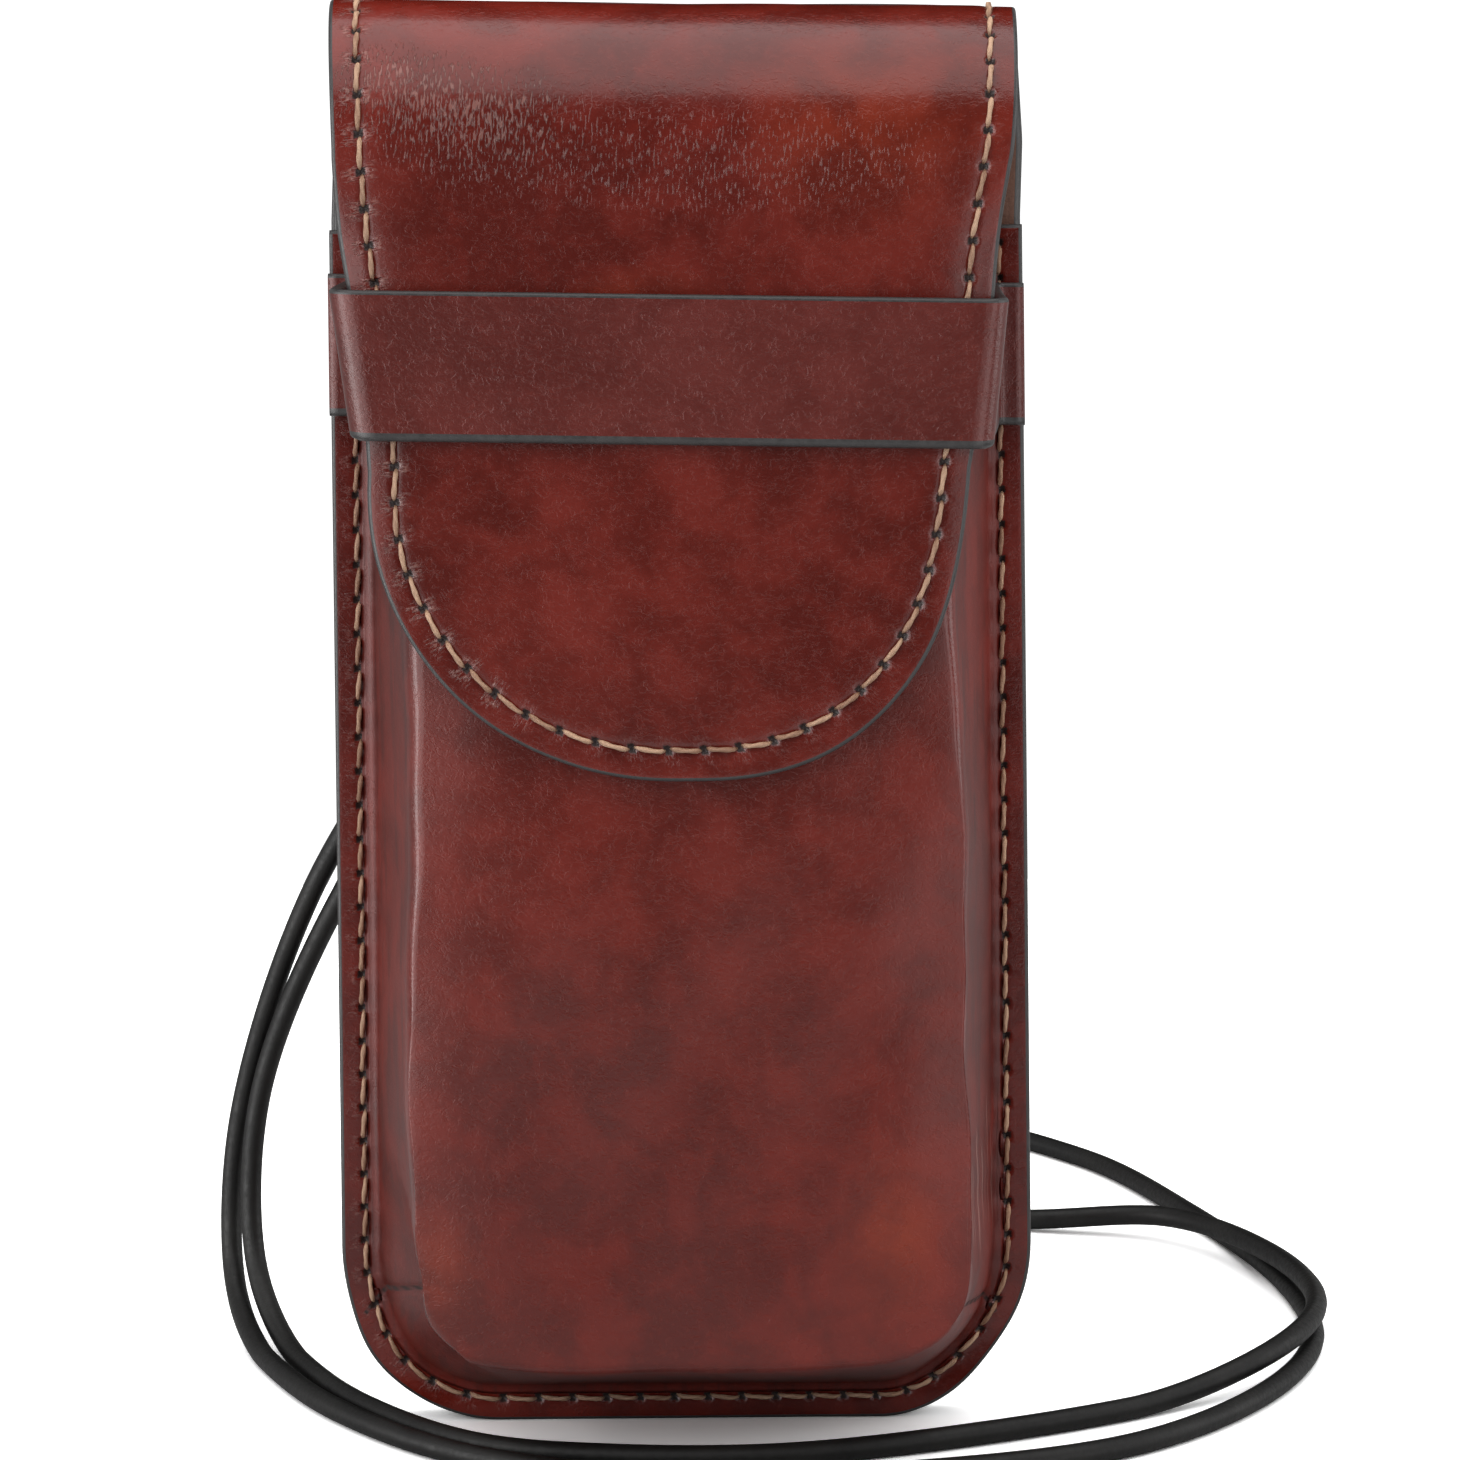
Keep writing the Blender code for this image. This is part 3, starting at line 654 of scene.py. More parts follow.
def waxed_thread():
    material, tree, shader = start_material("waxed_thread")
    ply = attribute(tree, "ply")
    # Each stitch's own tone, plus a painted shade that is darker in the grooves between the two plies
    tone_and_ply_shade = put(tree, "ShaderNodeSeparateXYZ", {0: ply}).outputs["Z"]
    fibres = clouds(stretched(ply, (40.0, 6.0, 1.0)), 1.0, 3.0, 0.7)
    tone = ramp(plus(times(fibres, 0.6), times(tone_and_ply_shade, 0.5)), 0.25, 0.85)
    thread = mingle(tone, (0.30, 0.150, 0.085, 1.0), (0.60, 0.370, 0.235, 1.0))
    cover(shader, fibres, 0.6, 0.0002, {"Base Color": thread, "Roughness": 0.55})
    return material


def suede_lining(hole_group):
    material, tree, shader = start_material("suede_lining")
    hide = attribute(tree, "hide")
    nap = clouds(hide, 1800.0, 5.0, 0.7)
    suede = mingle(clouds(hide, 60.0, 4.0, 0.6), (0.115, 0.044, 0.026, 1.0), (0.165, 0.068, 0.040, 1.0))
    suede = mingle(ramp(nap, 0.35, 0.7, 0.0, 0.5), suede, (0.21, 0.105, 0.068, 1.0))
    sewn = place_group(tree, hole_group, {"Seam": attribute(tree, "seam")})
    # Painted shade inside the needle holes
    suede = mingle(sewn["Hole"], suede, (0.02, 0.01, 0.008, 1.0))
    cover(shader, nap, 0.8, 0.00015, {"Base Color": suede, "Roughness": 0.9, "Sheen Weight": 0.3})
    return material


def black_cord():
    material, tree, shader = start_material("black_cord")
    place = put(tree, "ShaderNodeTexCoord").outputs["Object"]
    skin = clouds(place, 1400.0, 4.0, 0.65)
    wear = ramp(clouds(place, 90.0, 3.0, 0.6), 0.35, 0.7)
    black = mingle(wear, (0.004, 0.0036, 0.0033, 1.0), (0.009, 0.0082, 0.0072, 1.0))
    rough = ramp(skin, 0.3, 0.7, 0.42, 0.6)
    cover(shader, skin, 0.5, 0.00012, {"Base Color": black, "Roughness": rough, "Specular IOR Level": 0.36})
    return material


# Meshes


def grid_faces(rows, columns):
    index = np.arange(rows * columns).reshape(rows, columns)
    corners = [index[:-1, :-1], index[1:, :-1], index[1:, 1:], index[:-1, 1:]]
    return np.stack(corners, axis=-1).reshape(-1, 4)


def end_faces(rows, columns):
    """Quads that close both ends of a sheet folded along its middle column, leaf against leaf."""
    near = np.arange(columns // 2)[::-1]
    far = columns - 1 - near
    first = np.stack([near[1:], near[:-1], far[:-1], far[1:]], axis=1)
    return np.concatenate([first, first[:, ::-1] + (rows - 1) * columns])


def tube_faces(index):
    """Quads of several closed tubes, from point numbers by tube, ring and side, the sides running round."""
    beside = np.roll(index, -1, axis=2)
    corners = [index[:, :-1], beside[:, :-1], beside[:, 1:], index[:, 1:]]
    return np.stack(corners, axis=-1).reshape(-1, 4)


def make_piece(name, points, quads, polygons, materials, kinds, notes):
    """A mesh object from points in metres. Equal points are joined, and faces are turned outwards.

    kinds gives the material number of each quad and then of each polygon. notes are values kept on the
    points, by name: one number or three numbers for each point.
    """
    points = points.reshape(-1, 3)
    keys = np.round(points * 1e7).astype(np.int64)
    _, first, where = np.unique(keys, axis=0, return_index=True, return_inverse=True)
    where = where.ravel()
    points = points[first]
    faces = where[quads].tolist() + [where[np.asarray(polygon)].tolist() for polygon in polygons]
    kept, kept_kinds = [], []
    for face, kind in zip(faces, kinds):
        slim = [corner for corner, before in zip(face, face[-1:] + face[:-1]) if corner != before]
        if len(set(slim)) > 2 and len(set(slim)) == len(slim):
            kept.append(slim)
            kept_kinds.append(kind)
    volume = 0.0
    for size in {len(face) for face in kept}:
        corner = points[np.array([face for face in kept if len(face) == size])]
        for k in range(1, size - 1):
            volume += (np.cross(corner[:, 0], corner[:, k]) * corner[:, k + 1]).sum()
    if volume < 0:
        kept = [face[::-1] for face in kept]
    mesh = bpy.data.meshes.new(name)
    mesh.from_pydata(points.tolist(), [], kept)
    for material in materials:
        mesh.materials.append(material)
    mesh.polygons.foreach_set("material_index", np.array(kept_kinds, np.int32))
    for label, values in notes.items():
        values = np.asarray(values, np.float32).reshape(len(where), -1)[first]
        kind, field = ("FLOAT_VECTOR", "vector") if values.shape[1] == 3 else ("FLOAT", "value")
        mesh.attributes.new(label, kind, "POINT").data.foreach_set(field, values.ravel())
    mesh.shade_smooth()
    mesh.validate()
    return add_object(name, mesh)


def folded(inner, outer):
    """Both faces of a sheet as one grid: a row runs over the inner face to the edge, and back outside."""
    return np.concatenate([inner[:, ::-1], outer], axis=1)


def folded_piece(name, inner, outer, materials, notes, painted_ends=False):
    """A sheet as one closed piece, its faces joined round the edge and along the middle line.

    The rim beside the edge is painted, and so are the quads that close the ends.
    """
    for grid in (inner, outer):
        grid[:, -1] = (grid[:, -1] + grid[::-1, -1]) / 2
    rows, columns = inner.shape[:2]
    width = 2 * columns
    ends = end_faces(rows, width)
    row_of, column_of = np.divmod(np.arange((rows - 1) * (width - 1)), width - 1)
    painted = np.abs(column_of - (columns - 1)) <= PAINTED_COLUMNS
    if painted_ends:
        painted = painted | (row_of < 1) | (row_of > rows - 3)
    quads = np.concatenate([grid_faces(rows, width), ends])
    kinds = np.append(painted, np.ones(len(ends), int))
    return make_piece(name, folded(inner, outer), quads, [], materials, kinds, notes)


def facing_front(grid, row, column, least=0.0):
    """Unit normals of a grid, turned so that the one at a row and column points to the front."""
    normal = unit(np.cross(np.gradient(grid, axis=0), np.gradient(grid, axis=1)), least)
    return normal * np.sign(-normal[row, column, 1])


def hand_cut(x, z):
    """The case was cut by eye: its border lies a little to the left, most of all at the lower corners."""
    low = step_up((26.0 - z) / 10.0)
    near_edge = step_up((np.abs(x) - 37.0 + 17.0 * low) / (5.0 + 9.0 * low))
    shift = -0.4 * np.clip((168.0 - z) / 10.0, 0, 1) - 0.8 * bell(z - 8.0, 6.0)
    return x + shift * near_edge


def seat(x, depth, z):
    """Points in metres from x, depth in front of the back's outer face, and z."""
    x, depth, z = np.broadcast_arrays(x, depth, z)
    return np.stack([hand_cut(x, z), BACK_Y - depth, z], axis=-1) * MM


def waves(a, b, seed, lengths=(70.0, 44.0, 31.0, 23.0), height=0.1):
    """Slow unevenness of hand-worked leather: a few sine waves in random directions."""
    draw = np.random.default_rng(seed)
    total = np.zeros(np.broadcast_shapes(np.shape(a), np.shape(b)))
    for length in lengths:
        heading, phase = draw.uniform(0, 2 * math.pi, 2)
        along = np.cos(heading) * a + np.sin(heading) * b
        total = total + np.sin(2 * math.pi * along / length + phase) * length / lengths[0]
    return total * height


def rub_patches(a, b, patches):
    """Soft round patches: centre, two half sizes and strength of each."""
    total = np.zeros(np.shape(a))
    for across, along, half_across, half_along, strength in patches:
        far = ((a - across) / half_across) ** 2 + ((b - along) / half_along) ** 2
        total = total + strength * np.exp(-far)
    return total


# Seams


def seam_beside(line, inset):
    """A line in fine even steps, its inward directions, and the run of the seam that lies inside it."""
    fine = even_line(line, FINE_POINTS)
    along = unit(np.gradient(fine, axis=0))
    inward = np.stack([along[:, 1], -along[:, 0]], axis=1)
    return fine, inward, run_along(fine + inward * inset)


def sewn_edge(line, inset, rows_per_stitch):
    """Rows along a sheet's edge at equal steps of its seam, a whole number of stitches in all."""
    fine, inward, run = seam_beside(line, inset)
    stitches = round(run[-1] / PITCH)
    wanted = np.linspace(0, run[-1], stitches * rows_per_stitch + 1)
    inward = unit(read_off(wanted, run, inward))
    return Edge(read_off(wanted, run, fine), inward, run[-1] / stitches, stitches)


def at_seam(edge, stitch, rows_per_stitch, inset):
    """Flat places at numbers of stitches along an edge and distances inside it, also before its start."""
    row = stitch * rows_per_stitch
    held = np.clip(row, 0, len(edge.where) - 1)
    numbers = np.arange(len(edge.where))
    x, u = np.moveaxis(read_off(held, numbers, edge.where), -1, 0)
    nx, nu = np.moveaxis(read_off(held, numbers, edge.inward), -1, 0)
    past = (row - held) * edge.seam_step / rows_per_stitch
    return x + nx * inset - nu * past, u + nu * inset + nx * past


def rounding(inside, radius=EDGE_ROUND):
    """How far a rounded edge drops below the face, at a distance inside the edge."""
    short = np.clip(radius - inside, 0, radius)
    return radius - np.sqrt(radius**2 - short**2)


def needle_marks(stitch, off, step):
    """Depth of the sewing at a number of stitches along and a distance across the seam.

    A shallow channel under the thread, and a deep hole between every two stitches.
    """
    along = (stitch - np.floor(stitch) - 0.5) * step
    hole = np.exp(-(((along / HOLE_LENGTH) ** 2 + (off / HOLE_WIDTH) ** 2) ** 2))
    return CHANNEL_DEPTH * bell(off, CHANNEL_WIDTH) + HOLE_DEPTH * hole


def seam_note(stitch, off, sewn, edge):
    """Point values for the sewing: stitches along, distance across, and how strongly the puckers stand up
    and carry their painted highlight.

    Where a face isn't sewn, the distance is far. The puckers and their painted highlight are strongest at
    the left, where the light falls.
    """
    # Strength of the puckers and of their painted highlight, most at the left where the light falls
    pucker_and_glint_strength = 0.15 + 0.85 * step_up((-edge.where[:, :1] - 18.0) / 10.0)
    return np.stack(np.broadcast_arrays(stitch, np.where(sewn, off, FAR_FROM_SEAM), pucker_and_glint_strength), axis=-1)


def thread_pieces(name, edge, inset, beyond, surface, material, seed, rows_per_stitch):
    """Stitches from hole to hole: short tubes of two twisted plies that dive into the holes.

    surface(x, u, height) gives points at a height above the sewn face. A ring of each tube is a circle
    with two lobes that turn along the thread. beyond is how many stitches go on past each end.
    """
    draw = np.random.default_rng(seed)
    holes = np.arange(-beyond, edge.stitches - 1 + beyond) + 0.5
    count, rings, sides = len(holes), 9, 8
    share = np.linspace(0, 1, rings)
    stitch = holes[:, None] + THREAD_START + THREAD_SPAN * share
    tilt = THREAD_TILT + draw.uniform(-0.05, 0.05, (count, 1))
    off = tilt * (1 - 2 * share) + draw.uniform(-0.04, 0.04, (count, 1))
    rise = -THREAD_DIVE + THREAD_ARCH * (1 - np.abs(2 * share - 1) ** 5)
    rise = rise + draw.uniform(-0.03, 0.03, (count, 1))
    rows = len(edge.where)
    inset = np.interp(stitch * rows_per_stitch, np.arange(rows), np.broadcast_to(inset, rows))
    x, u = at_seam(edge, stitch, rows_per_stitch, inset + off)
    centre = surface(x, u, rise)
    along = unit(np.gradient(centre, axis=1))
    beside = unit(np.cross(along, unit(surface(x, u, rise + 0.5) - centre)))
    up = np.cross(beside, along)
    angle = np.linspace(0, 2 * math.pi, sides, endpoint=False)
    twist = (share * 1.6 * math.pi)[:, None] + draw.uniform(0, 3, (count, 1, 1))
    two_plies = np.cos(2 * (angle - twist))
    narrowed = (1 - 0.35 * np.abs(2 * share - 1) ** 6)[:, None]
    lobes = (1 + 0.14 * two_plies) * narrowed
    points = centre[:, :, None]
    for direction, turned in ((beside, np.cos(angle)), (up, np.sin(angle))):
        points = points + direction[:, :, None] * (turned * lobes * THREAD_RADIUS * MM)[..., None]
    index = np.arange(count * rings * sides).reshape(count, rings, sides)
    tone = draw.uniform(0, 1, (count, 1, 1))
    # The third value is the stitch's own tone plus a painted shade, darker in the grooves between the plies
    ply = (np.cos(angle - twist / 2) + tone * 5, stitch[:, :, None], tone + 0.3 * two_plies)
    ply = np.stack(np.broadcast_arrays(*ply), axis=-1)
    quads = tube_faces(index)
    caps = index[:, 0, ::-1].tolist() + index[:, -1].tolist()
    kinds = [0] * (len(quads) + len(caps))
    return make_piece(name, points, quads, caps, [material], kinds, {"ply": ply})


# The strip that is back, crown and flap


def edge_roll(x, z):
    """How far the flap's long edges bend back over the pouch: as the square of the distance past a line."""
    past = np.clip(np.abs(x) - EDGE_ROLL_FROM, 0, None)
    fade = np.clip((SPRING_Z - z) / EDGE_ROLL_FADE, 0, 1)
    return past**2 / (2 * EDGE_ROLL_RADIUS) * fade * fade * (3 - 2 * fade)


def over_the_strip(x, u, h):
    """Points of the strip: u along its outer face from the crown's top, positive to the tip; h inwards.

    A half circle of the crown radius, with a straight run on beyond each end. The flap's long edges
    bend back over the pouch. The crown stands a little higher on the left and is cut a little narrower
    on the right, and the flap hangs a little to the left above its tip.
    """
    turn = np.clip(u / CROWN_RADIUS, -math.pi / 2, math.pi / 2)
    beyond = np.clip(np.abs(u) - CROWN_ARC, 0, None)
    radius = CROWN_RADIUS - h
    depth = CROWN_RADIUS + radius * np.sin(turn)
    z = SPRING_Z + radius * np.cos(turn) - beyond
    depth = depth - np.where(u > 0, edge_roll(x, z), 0)
    lift = (CROWN_LIFT - CROWN_SLANT * x) * np.cos(turn)
    skew = sum(amount * bell(z - level, reach) for amount, level, reach in FLAP_SKEWS)
    trimmed = -CROWN_TRIM * step_up((x - 30.0) / 8.0) * np.cos(turn) ** 2
    return seat(x + np.where(u > 0, skew, 0) + trimmed, depth, z + lift)


def between(first, last, share):
    return first + (last - first) * share


def crown_half_width(u):
    angle = 90 + np.degrees(u / CROWN_RADIUS)
    return HALF_WIDTH_AT_FOLD + (FLAP_HALF_WIDTH_AT_FOLD - HALF_WIDTH_AT_FOLD) * angle / 180


def side_half_width(z):
    return between(HALF_WIDTH, HALF_WIDTH_AT_FOLD, (z - CORNER_HEIGHT) / (SPRING_Z - CORNER_HEIGHT))


def flap_half_width(z):
    share = (SPRING_Z - z) / (SPRING_Z - TIP_START_Z)
    return between(FLAP_HALF_WIDTH_AT_FOLD, FLAP_HALF_WIDTH_AT_TIP, share)


def squarish_turn(count, wide, narrow, height, power):
    """A quarter of a superellipse: half widths from wide to narrow, and the falls down to height."""
    turn = np.linspace(0, math.pi / 2, count)
    width = narrow + (wide - narrow) * np.cos(turn) ** (2 / power)
    width[-1] = narrow
    return width, height * np.sin(turn) ** (2 / power)


def corner_line():
    """The lower left corner of the case, x and z, from the side to the flat bottom."""
    width, fall = squarish_turn(300, HALF_WIDTH, BOTTOM_FLAT_HALF, CORNER_HEIGHT, CORNER_POWER)
    return np.stack([-width, CORNER_HEIGHT - fall], axis=1)


def both_sides(*parts):
    """The parts of a left half line, from the top to the middle of the bottom, and its mirror image."""
    half = np.concatenate([parts[0], *(part[1:] for part in parts[1:])])
    return np.concatenate([half, half[::-1] * (-1, 1)])


def strip_outline(crown_side, half_width, lowest, turn):
    """A border of the strip: over the crown, down the side to the lowest z, and round the last turn."""
    u = np.linspace(0, CROWN_ARC, 60)
    crown = np.stack([-crown_half_width(crown_side * u), u], axis=1)
    z = np.linspace(SPRING_Z, lowest, 60)
    side = np.stack([-half_width(z), CROWN_ARC + SPRING_Z - z], axis=1)
    return both_sides(crown, side, turn)


def flap_outline():
    width, fall = squarish_turn(400, FLAP_HALF_WIDTH_AT_TIP, TIP_END_HALF, TIP_LENGTH, TIP_POWER)
    tip = np.stack([-width, CROWN_ARC + SPRING_Z - TIP_START_Z + fall], axis=1)
    return strip_outline(1, flap_half_width, TIP_START_Z, tip)


def back_outline():
    x, z = corner_line().T
    corner = np.stack([x, CROWN_ARC + SPRING_Z - z], axis=1)
    return strip_outline(-1, side_half_width, CORNER_HEIGHT, corner)


def middle_line(level, lowest, distances):
    """A place on the middle line for each row, from the rows' levels and two distances from the lowest."""
    turn_from, end = lowest - distances[0], lowest - distances[1]
    rows = len(level)
    half = rows // 2
    start = np.searchsorted(level[: half + 1], turn_from)
    run = np.arange(half + 1 - start) / (half - start)
    down = np.append(level[:start], between(level[start], end, run))
    down = np.append(down[: rows - half], down[:half][::-1])
    return np.stack([np.zeros(rows), down], axis=1)


def strip_sheet(name, strip, materials, patches, crinkles, is_lining):
    """A sheet of the strip with rounded, painted edges. The lining is cut a little smaller all round.

    Each row runs across both faces: from the middle line over the inner face to the edge, round it, and
    back over the outer face. The outer leather is marked by its needle holes outside, the lining inside.
    """
    edge, inset, side, thick, back = strip.edge, strip.inset, strip.side, PANEL_THICK, 0.0
    if is_lining:
        edge = edge._replace(where=edge.where + edge.inward * LINING_INSET)
        inset, thick, back = inset - LINING_INSET, LINING_THICK, PANEL_THICK
    rows, steps = len(edge.where), 12
    inset = np.broadcast_to(inset, rows)[:, None]
    at_edge = np.broadcast_to(EDGE_COLUMNS, (rows, len(EDGE_COLUMNS)))
    insets = np.hstack([at_edge, inset + np.array(SEAM_COLUMNS), inset + 2.0])
    near = edge.where[:, None] + edge.inward[:, None] * insets[..., None]
    share = (np.arange(steps) + 1) / steps
    far = between(near[:, -1:], strip.middle[:, None], share[:, None])
    flat = np.concatenate([near, far], axis=1)
    inside = np.hstack([insets, insets[:, -1:] + share * 30])
    x, u = flat[..., 0], flat[..., 1] * side
    stitch = np.arange(rows)[:, None] / STRIP_ROWS
    off = inside - inset
    marks = needle_marks(stitch, off, edge.seam_step)
    sag = waves(x, u, strip.seed) * step_up((inside - 0.5) / 6)
    drop = rounding(inside)
    outer = over_the_strip(x, u, back + drop + marks * (not is_lining) + sag)
    inner = over_the_strip(x, u, back + thick - drop - marks * is_lining + sag)
    x, u = folded(x, x), folded(u, u)
    leaf = np.repeat([thick, 0.0], inside.shape[1])
    sewn = (leaf > 0) == is_lining
    notes = {
        "hide": np.stack(np.broadcast_arrays(x, u, leaf), axis=-1) * MM,
        "seam": seam_note(stitch, folded(off, off), sewn, edge),
        "patch": rub_patches(x, u, patches),
        "crinkle": rub_patches(x, u, crinkles),
    }
    return folded_piece(name, inner, outer, materials, notes)


# The moulded front


def face_left(z):
    """Half width of the face on the left: a straight line that leans inwards."""
    return 36.1 - (z - 30.0) * 0.0190


def face_right(z):
    """Half width of the face on the right: it narrows halfway up."""
    return 36.6 - 1.9 * step_up((z - 70.0) / 45.0)


def face_border(half_width, power):
    """One side of the border of the face, half width and z, from the mouth down round a squarish corner."""
    z = np.linspace(MOUTH_Z, FACE_BOTTOM_Z + FACE_CORNER_RADIUS, 200)
    turn = np.linspace(0, math.pi / 2, 300)[1:]
    corner_x = half_width(z[-1]) - FACE_CORNER_RADIUS * (1 - np.cos(turn) ** (2 / power))
    corner_z = z[-1] - FACE_CORNER_RADIUS * np.sin(turn) ** (2 / power)
    return np.stack([np.append(half_width(z), corner_x), np.append(z, corner_z)], axis=1)


def front_lines():
    """Edge of the flange with its seam, and the matching line where walls and face would meet.

    Both are x and z, from the mouth's left end round the bottom to its right end.
    """
    side_z = np.linspace(MOUTH_Z, CORNER_HEIGHT, 200)
    side = np.stack([-side_half_width(side_z), side_z], axis=1)
    down = both_sides(side, corner_line()) * (1, -1)
    edge = sewn_edge(down, SEAM_INSET, FRONT_ROWS)
    left = face_border(face_left, FACE_CORNER_POWER_LEFT) * (-1, 1)
    face = np.concatenate([left, face_border(face_right, FACE_CORNER_POWER_RIGHT)[::-1]])
    run = run_along(down)
    run = run + np.arange(len(run)) * 1e-9
    fine, _, seam_run = seam_beside(down, SEAM_INSET)
    fine_run = np.linspace(0, run[-1], len(fine))
    wanted = np.interp(np.linspace(0, seam_run[-1], len(edge.where)), seam_run, fine_run)
    matched = read_off(wanted, run, face)
    x, z = matched.T.copy()
    bow = np.clip(1 - (x / 30) ** 2, 0, 1) * step_up((21.0 - z) / 3)
    uneven = waves(x, z, seed=9, lengths=(43.0, 29.0, 19.0), height=0.3)
    matched[:, 0] += uneven * step_up((np.abs(x) - 20) / 8)
    matched[:, 1] -= FACE_BOTTOM_BOW * bow
    return edge._replace(where=edge.where * (1, -1), inward=edge.inward * (1, -1)), matched


def joined(first, second):
    """Two bends of a line, with seven points on the straight run between them."""
    share = np.linspace(0, 1, 9)[1:-1]
    return np.concatenate([first, between(first[..., -1:], second[..., :1], share), second], axis=-1)


def front_profile(run, shoulder, offset):
    """Across the wall: distance from the foot and rise from the flange, on two arcs joined by a line."""
    run, shoulder = run[:, None], shoulder[:, None]
    slope = np.arctan2(POUCH_RISE, run)
    reach = np.tan(slope / 2)
    turn, radius = slope * np.linspace(0, 1, 6), FOOT_RADIUS + offset
    foot = np.stack([-FOOT_RADIUS * reach + radius * np.sin(turn), FOOT_RADIUS - radius * np.cos(turn)])
    turn, radius = slope * np.linspace(1, 0, 9), shoulder - offset
    top_u = run + shoulder * reach - radius * np.sin(turn)
    return joined(foot, np.stack([top_u, POUCH_RISE - shoulder + radius * np.cos(turn)]))


def corner_facet(x, z):
    """How far the lower left corner of the face drops: grows with the distance past two straight lines."""
    first = (x + 35.6) * -0.931 + (z - 32.5) * -0.364
    second = (x + 30.2) * -0.841 + (z - 20.5) * -0.542
    return np.clip(np.where(x < 0, np.maximum(first, second), 0), 0, 4.5)


def drawn_lines(x, z, lines):
    """Height of soft ridges and grooves along lines: a bell curve of the distance to each line."""
    total = np.zeros(np.shape(x))
    for ((x0, z0), (x1, z1)), half_width, height in lines:
        length = math.hypot(x1 - x0, z1 - z0)
        ax, az = (x1 - x0) / length, (z1 - z0) / length
        along = np.clip((x - x0) * ax + (z - z0) * az, 0, length)
        total = total + height * bell(np.hypot(x - x0 - along * ax, z - z0 - along * az), half_width)
    return total


def moulded_front(materials):
    """The wet-moulded front: sewn flange, sloping walls with a dart at each lower corner, and the face.

    A row runs from the edge over the flange, up the wall and over the face to the middle line.
    """
    edge, matched = front_lines()
    rows = len(edge.where)
    foot = edge.where + edge.inward * FLANGE_WIDTH
    run = np.linalg.norm(matched - foot, axis=1)
    across = (matched - foot) / run[:, None]
    shoulder = np.where(matched[:, 0] < 0, SHOULDER_RADIUS_LEFT, SHOULDER_RADIUS_RIGHT)
    shoulder = between(shoulder, BOTTOM_SHOULDER_RADIUS, step_up((26.0 - matched[:, 1]) / 7.0))
    insets = np.append(EDGE_COLUMNS, SEAM_INSET + np.array(SEAM_COLUMNS))
    flange = edge.where[:, None] + edge.inward[:, None] * insets[:, None]
    middle = middle_line(-edge.where[:, 1], 0.0, FACE_MIDDLE) * (1, -1)
    share = ((np.arange(FACE_STEPS) + 1) / FACE_STEPS) ** 1.7
    grids, normals = [], []
    for offset in (0.0, SHELL_THICK):
        u, v = front_profile(run, shoulder, offset)
        direction = np.where((u < 0)[..., None], edge.inward[:, None], across[:, None])
        wall = foot[:, None] + direction * u[..., None]
        face = between(wall[:, -1:], middle[:, None], share[:, None])
        x, z = np.moveaxis(np.concatenate([flange, wall, face], axis=1), -1, 0)
        levels = np.full(flange.shape[:2], -offset), v, np.full(face.shape[:2], POUCH_RISE - offset)
        grid = seat(x, FLANGE_FRONT + np.hstack(levels), z)
        grids.append(grid)
        normals.append(facing_front(grid, rows // 2, 0, 1e-12))
    from_foot = np.arange(grids[0].shape[1]) - len(insets)
    past_foot = from_foot >= 0
    inside = np.append(insets, FAR_FROM_SEAM + from_foot[past_foot])
    stitch = np.arange(rows)[:, None] / FRONT_ROWS
    off = inside[None] - SEAM_INSET
    drop = rounding(inside)
    x, y, z = np.moveaxis(grids[0], -1, 0) / MM
    uneven = waves(x, z + y, seed=5, lengths=(60.0, 37.0, 26.0, 17.0), height=0.16)
    uneven = uneven * step_up((from_foot - 3) / 5)
    uneven = uneven + FACE_DOME * (np.abs(x) / 35.0) ** 4 * step_up((from_foot - 5) / 8)
    uneven = uneven + corner_facet(x, z) * step_up((from_foot - 5) / 8)
    folds = drawn_lines(x, z, FRONT_FOLDS) * (past_foot & (from_foot < WALL_COLUMNS))
    to_end = np.minimum(np.arange(rows), np.arange(rows)[::-1])
    lip = rounding(to_end * edge.seam_step / FRONT_ROWS)[:, None]
    marks = needle_marks(stitch, off, edge.seam_step)
    outer = grids[0] - normals[0] * ((marks + drop + uneven - folds + lip) * MM)[..., None]
    inner = grids[1] + normals[1] * ((drop - uneven + lip) * MM)[..., None]
    for grid in (outer, inner):
        grid[:, -1, 0] = 0.0
    hide = folded(grids[1], grids[0])
    place = hide[..., 0] / MM, hide[..., 2] / MM
    matt = past_foot * step_up((WALL_COLUMNS - 1 - from_foot) / 6)
    notes = {
        "hide": hide,
        "seam": seam_note(stitch, folded(off, off), np.repeat([False, True], len(inside)), edge),
        "patch": rub_patches(*place, FRONT_PATCHES),
        "crinkle": rub_patches(*place, FRONT_CRINKLES),
        "wall": np.broadcast_to(np.append(0 * matt, matt), hide.shape[:2]),
    }
    return edge, folded_piece("moulded_front", inner, outer, materials, notes, painted_ends=True)


# The retaining band


def arc(x, depth, radius, start, end, count):
    """Points x and depth on an arc round a centre, between two angles in degrees."""
    turn = np.radians(np.linspace(start, end, count))
    return np.stack(np.broadcast_arrays(x + radius * np.cos(turn), depth + radius * np.sin(turn)))


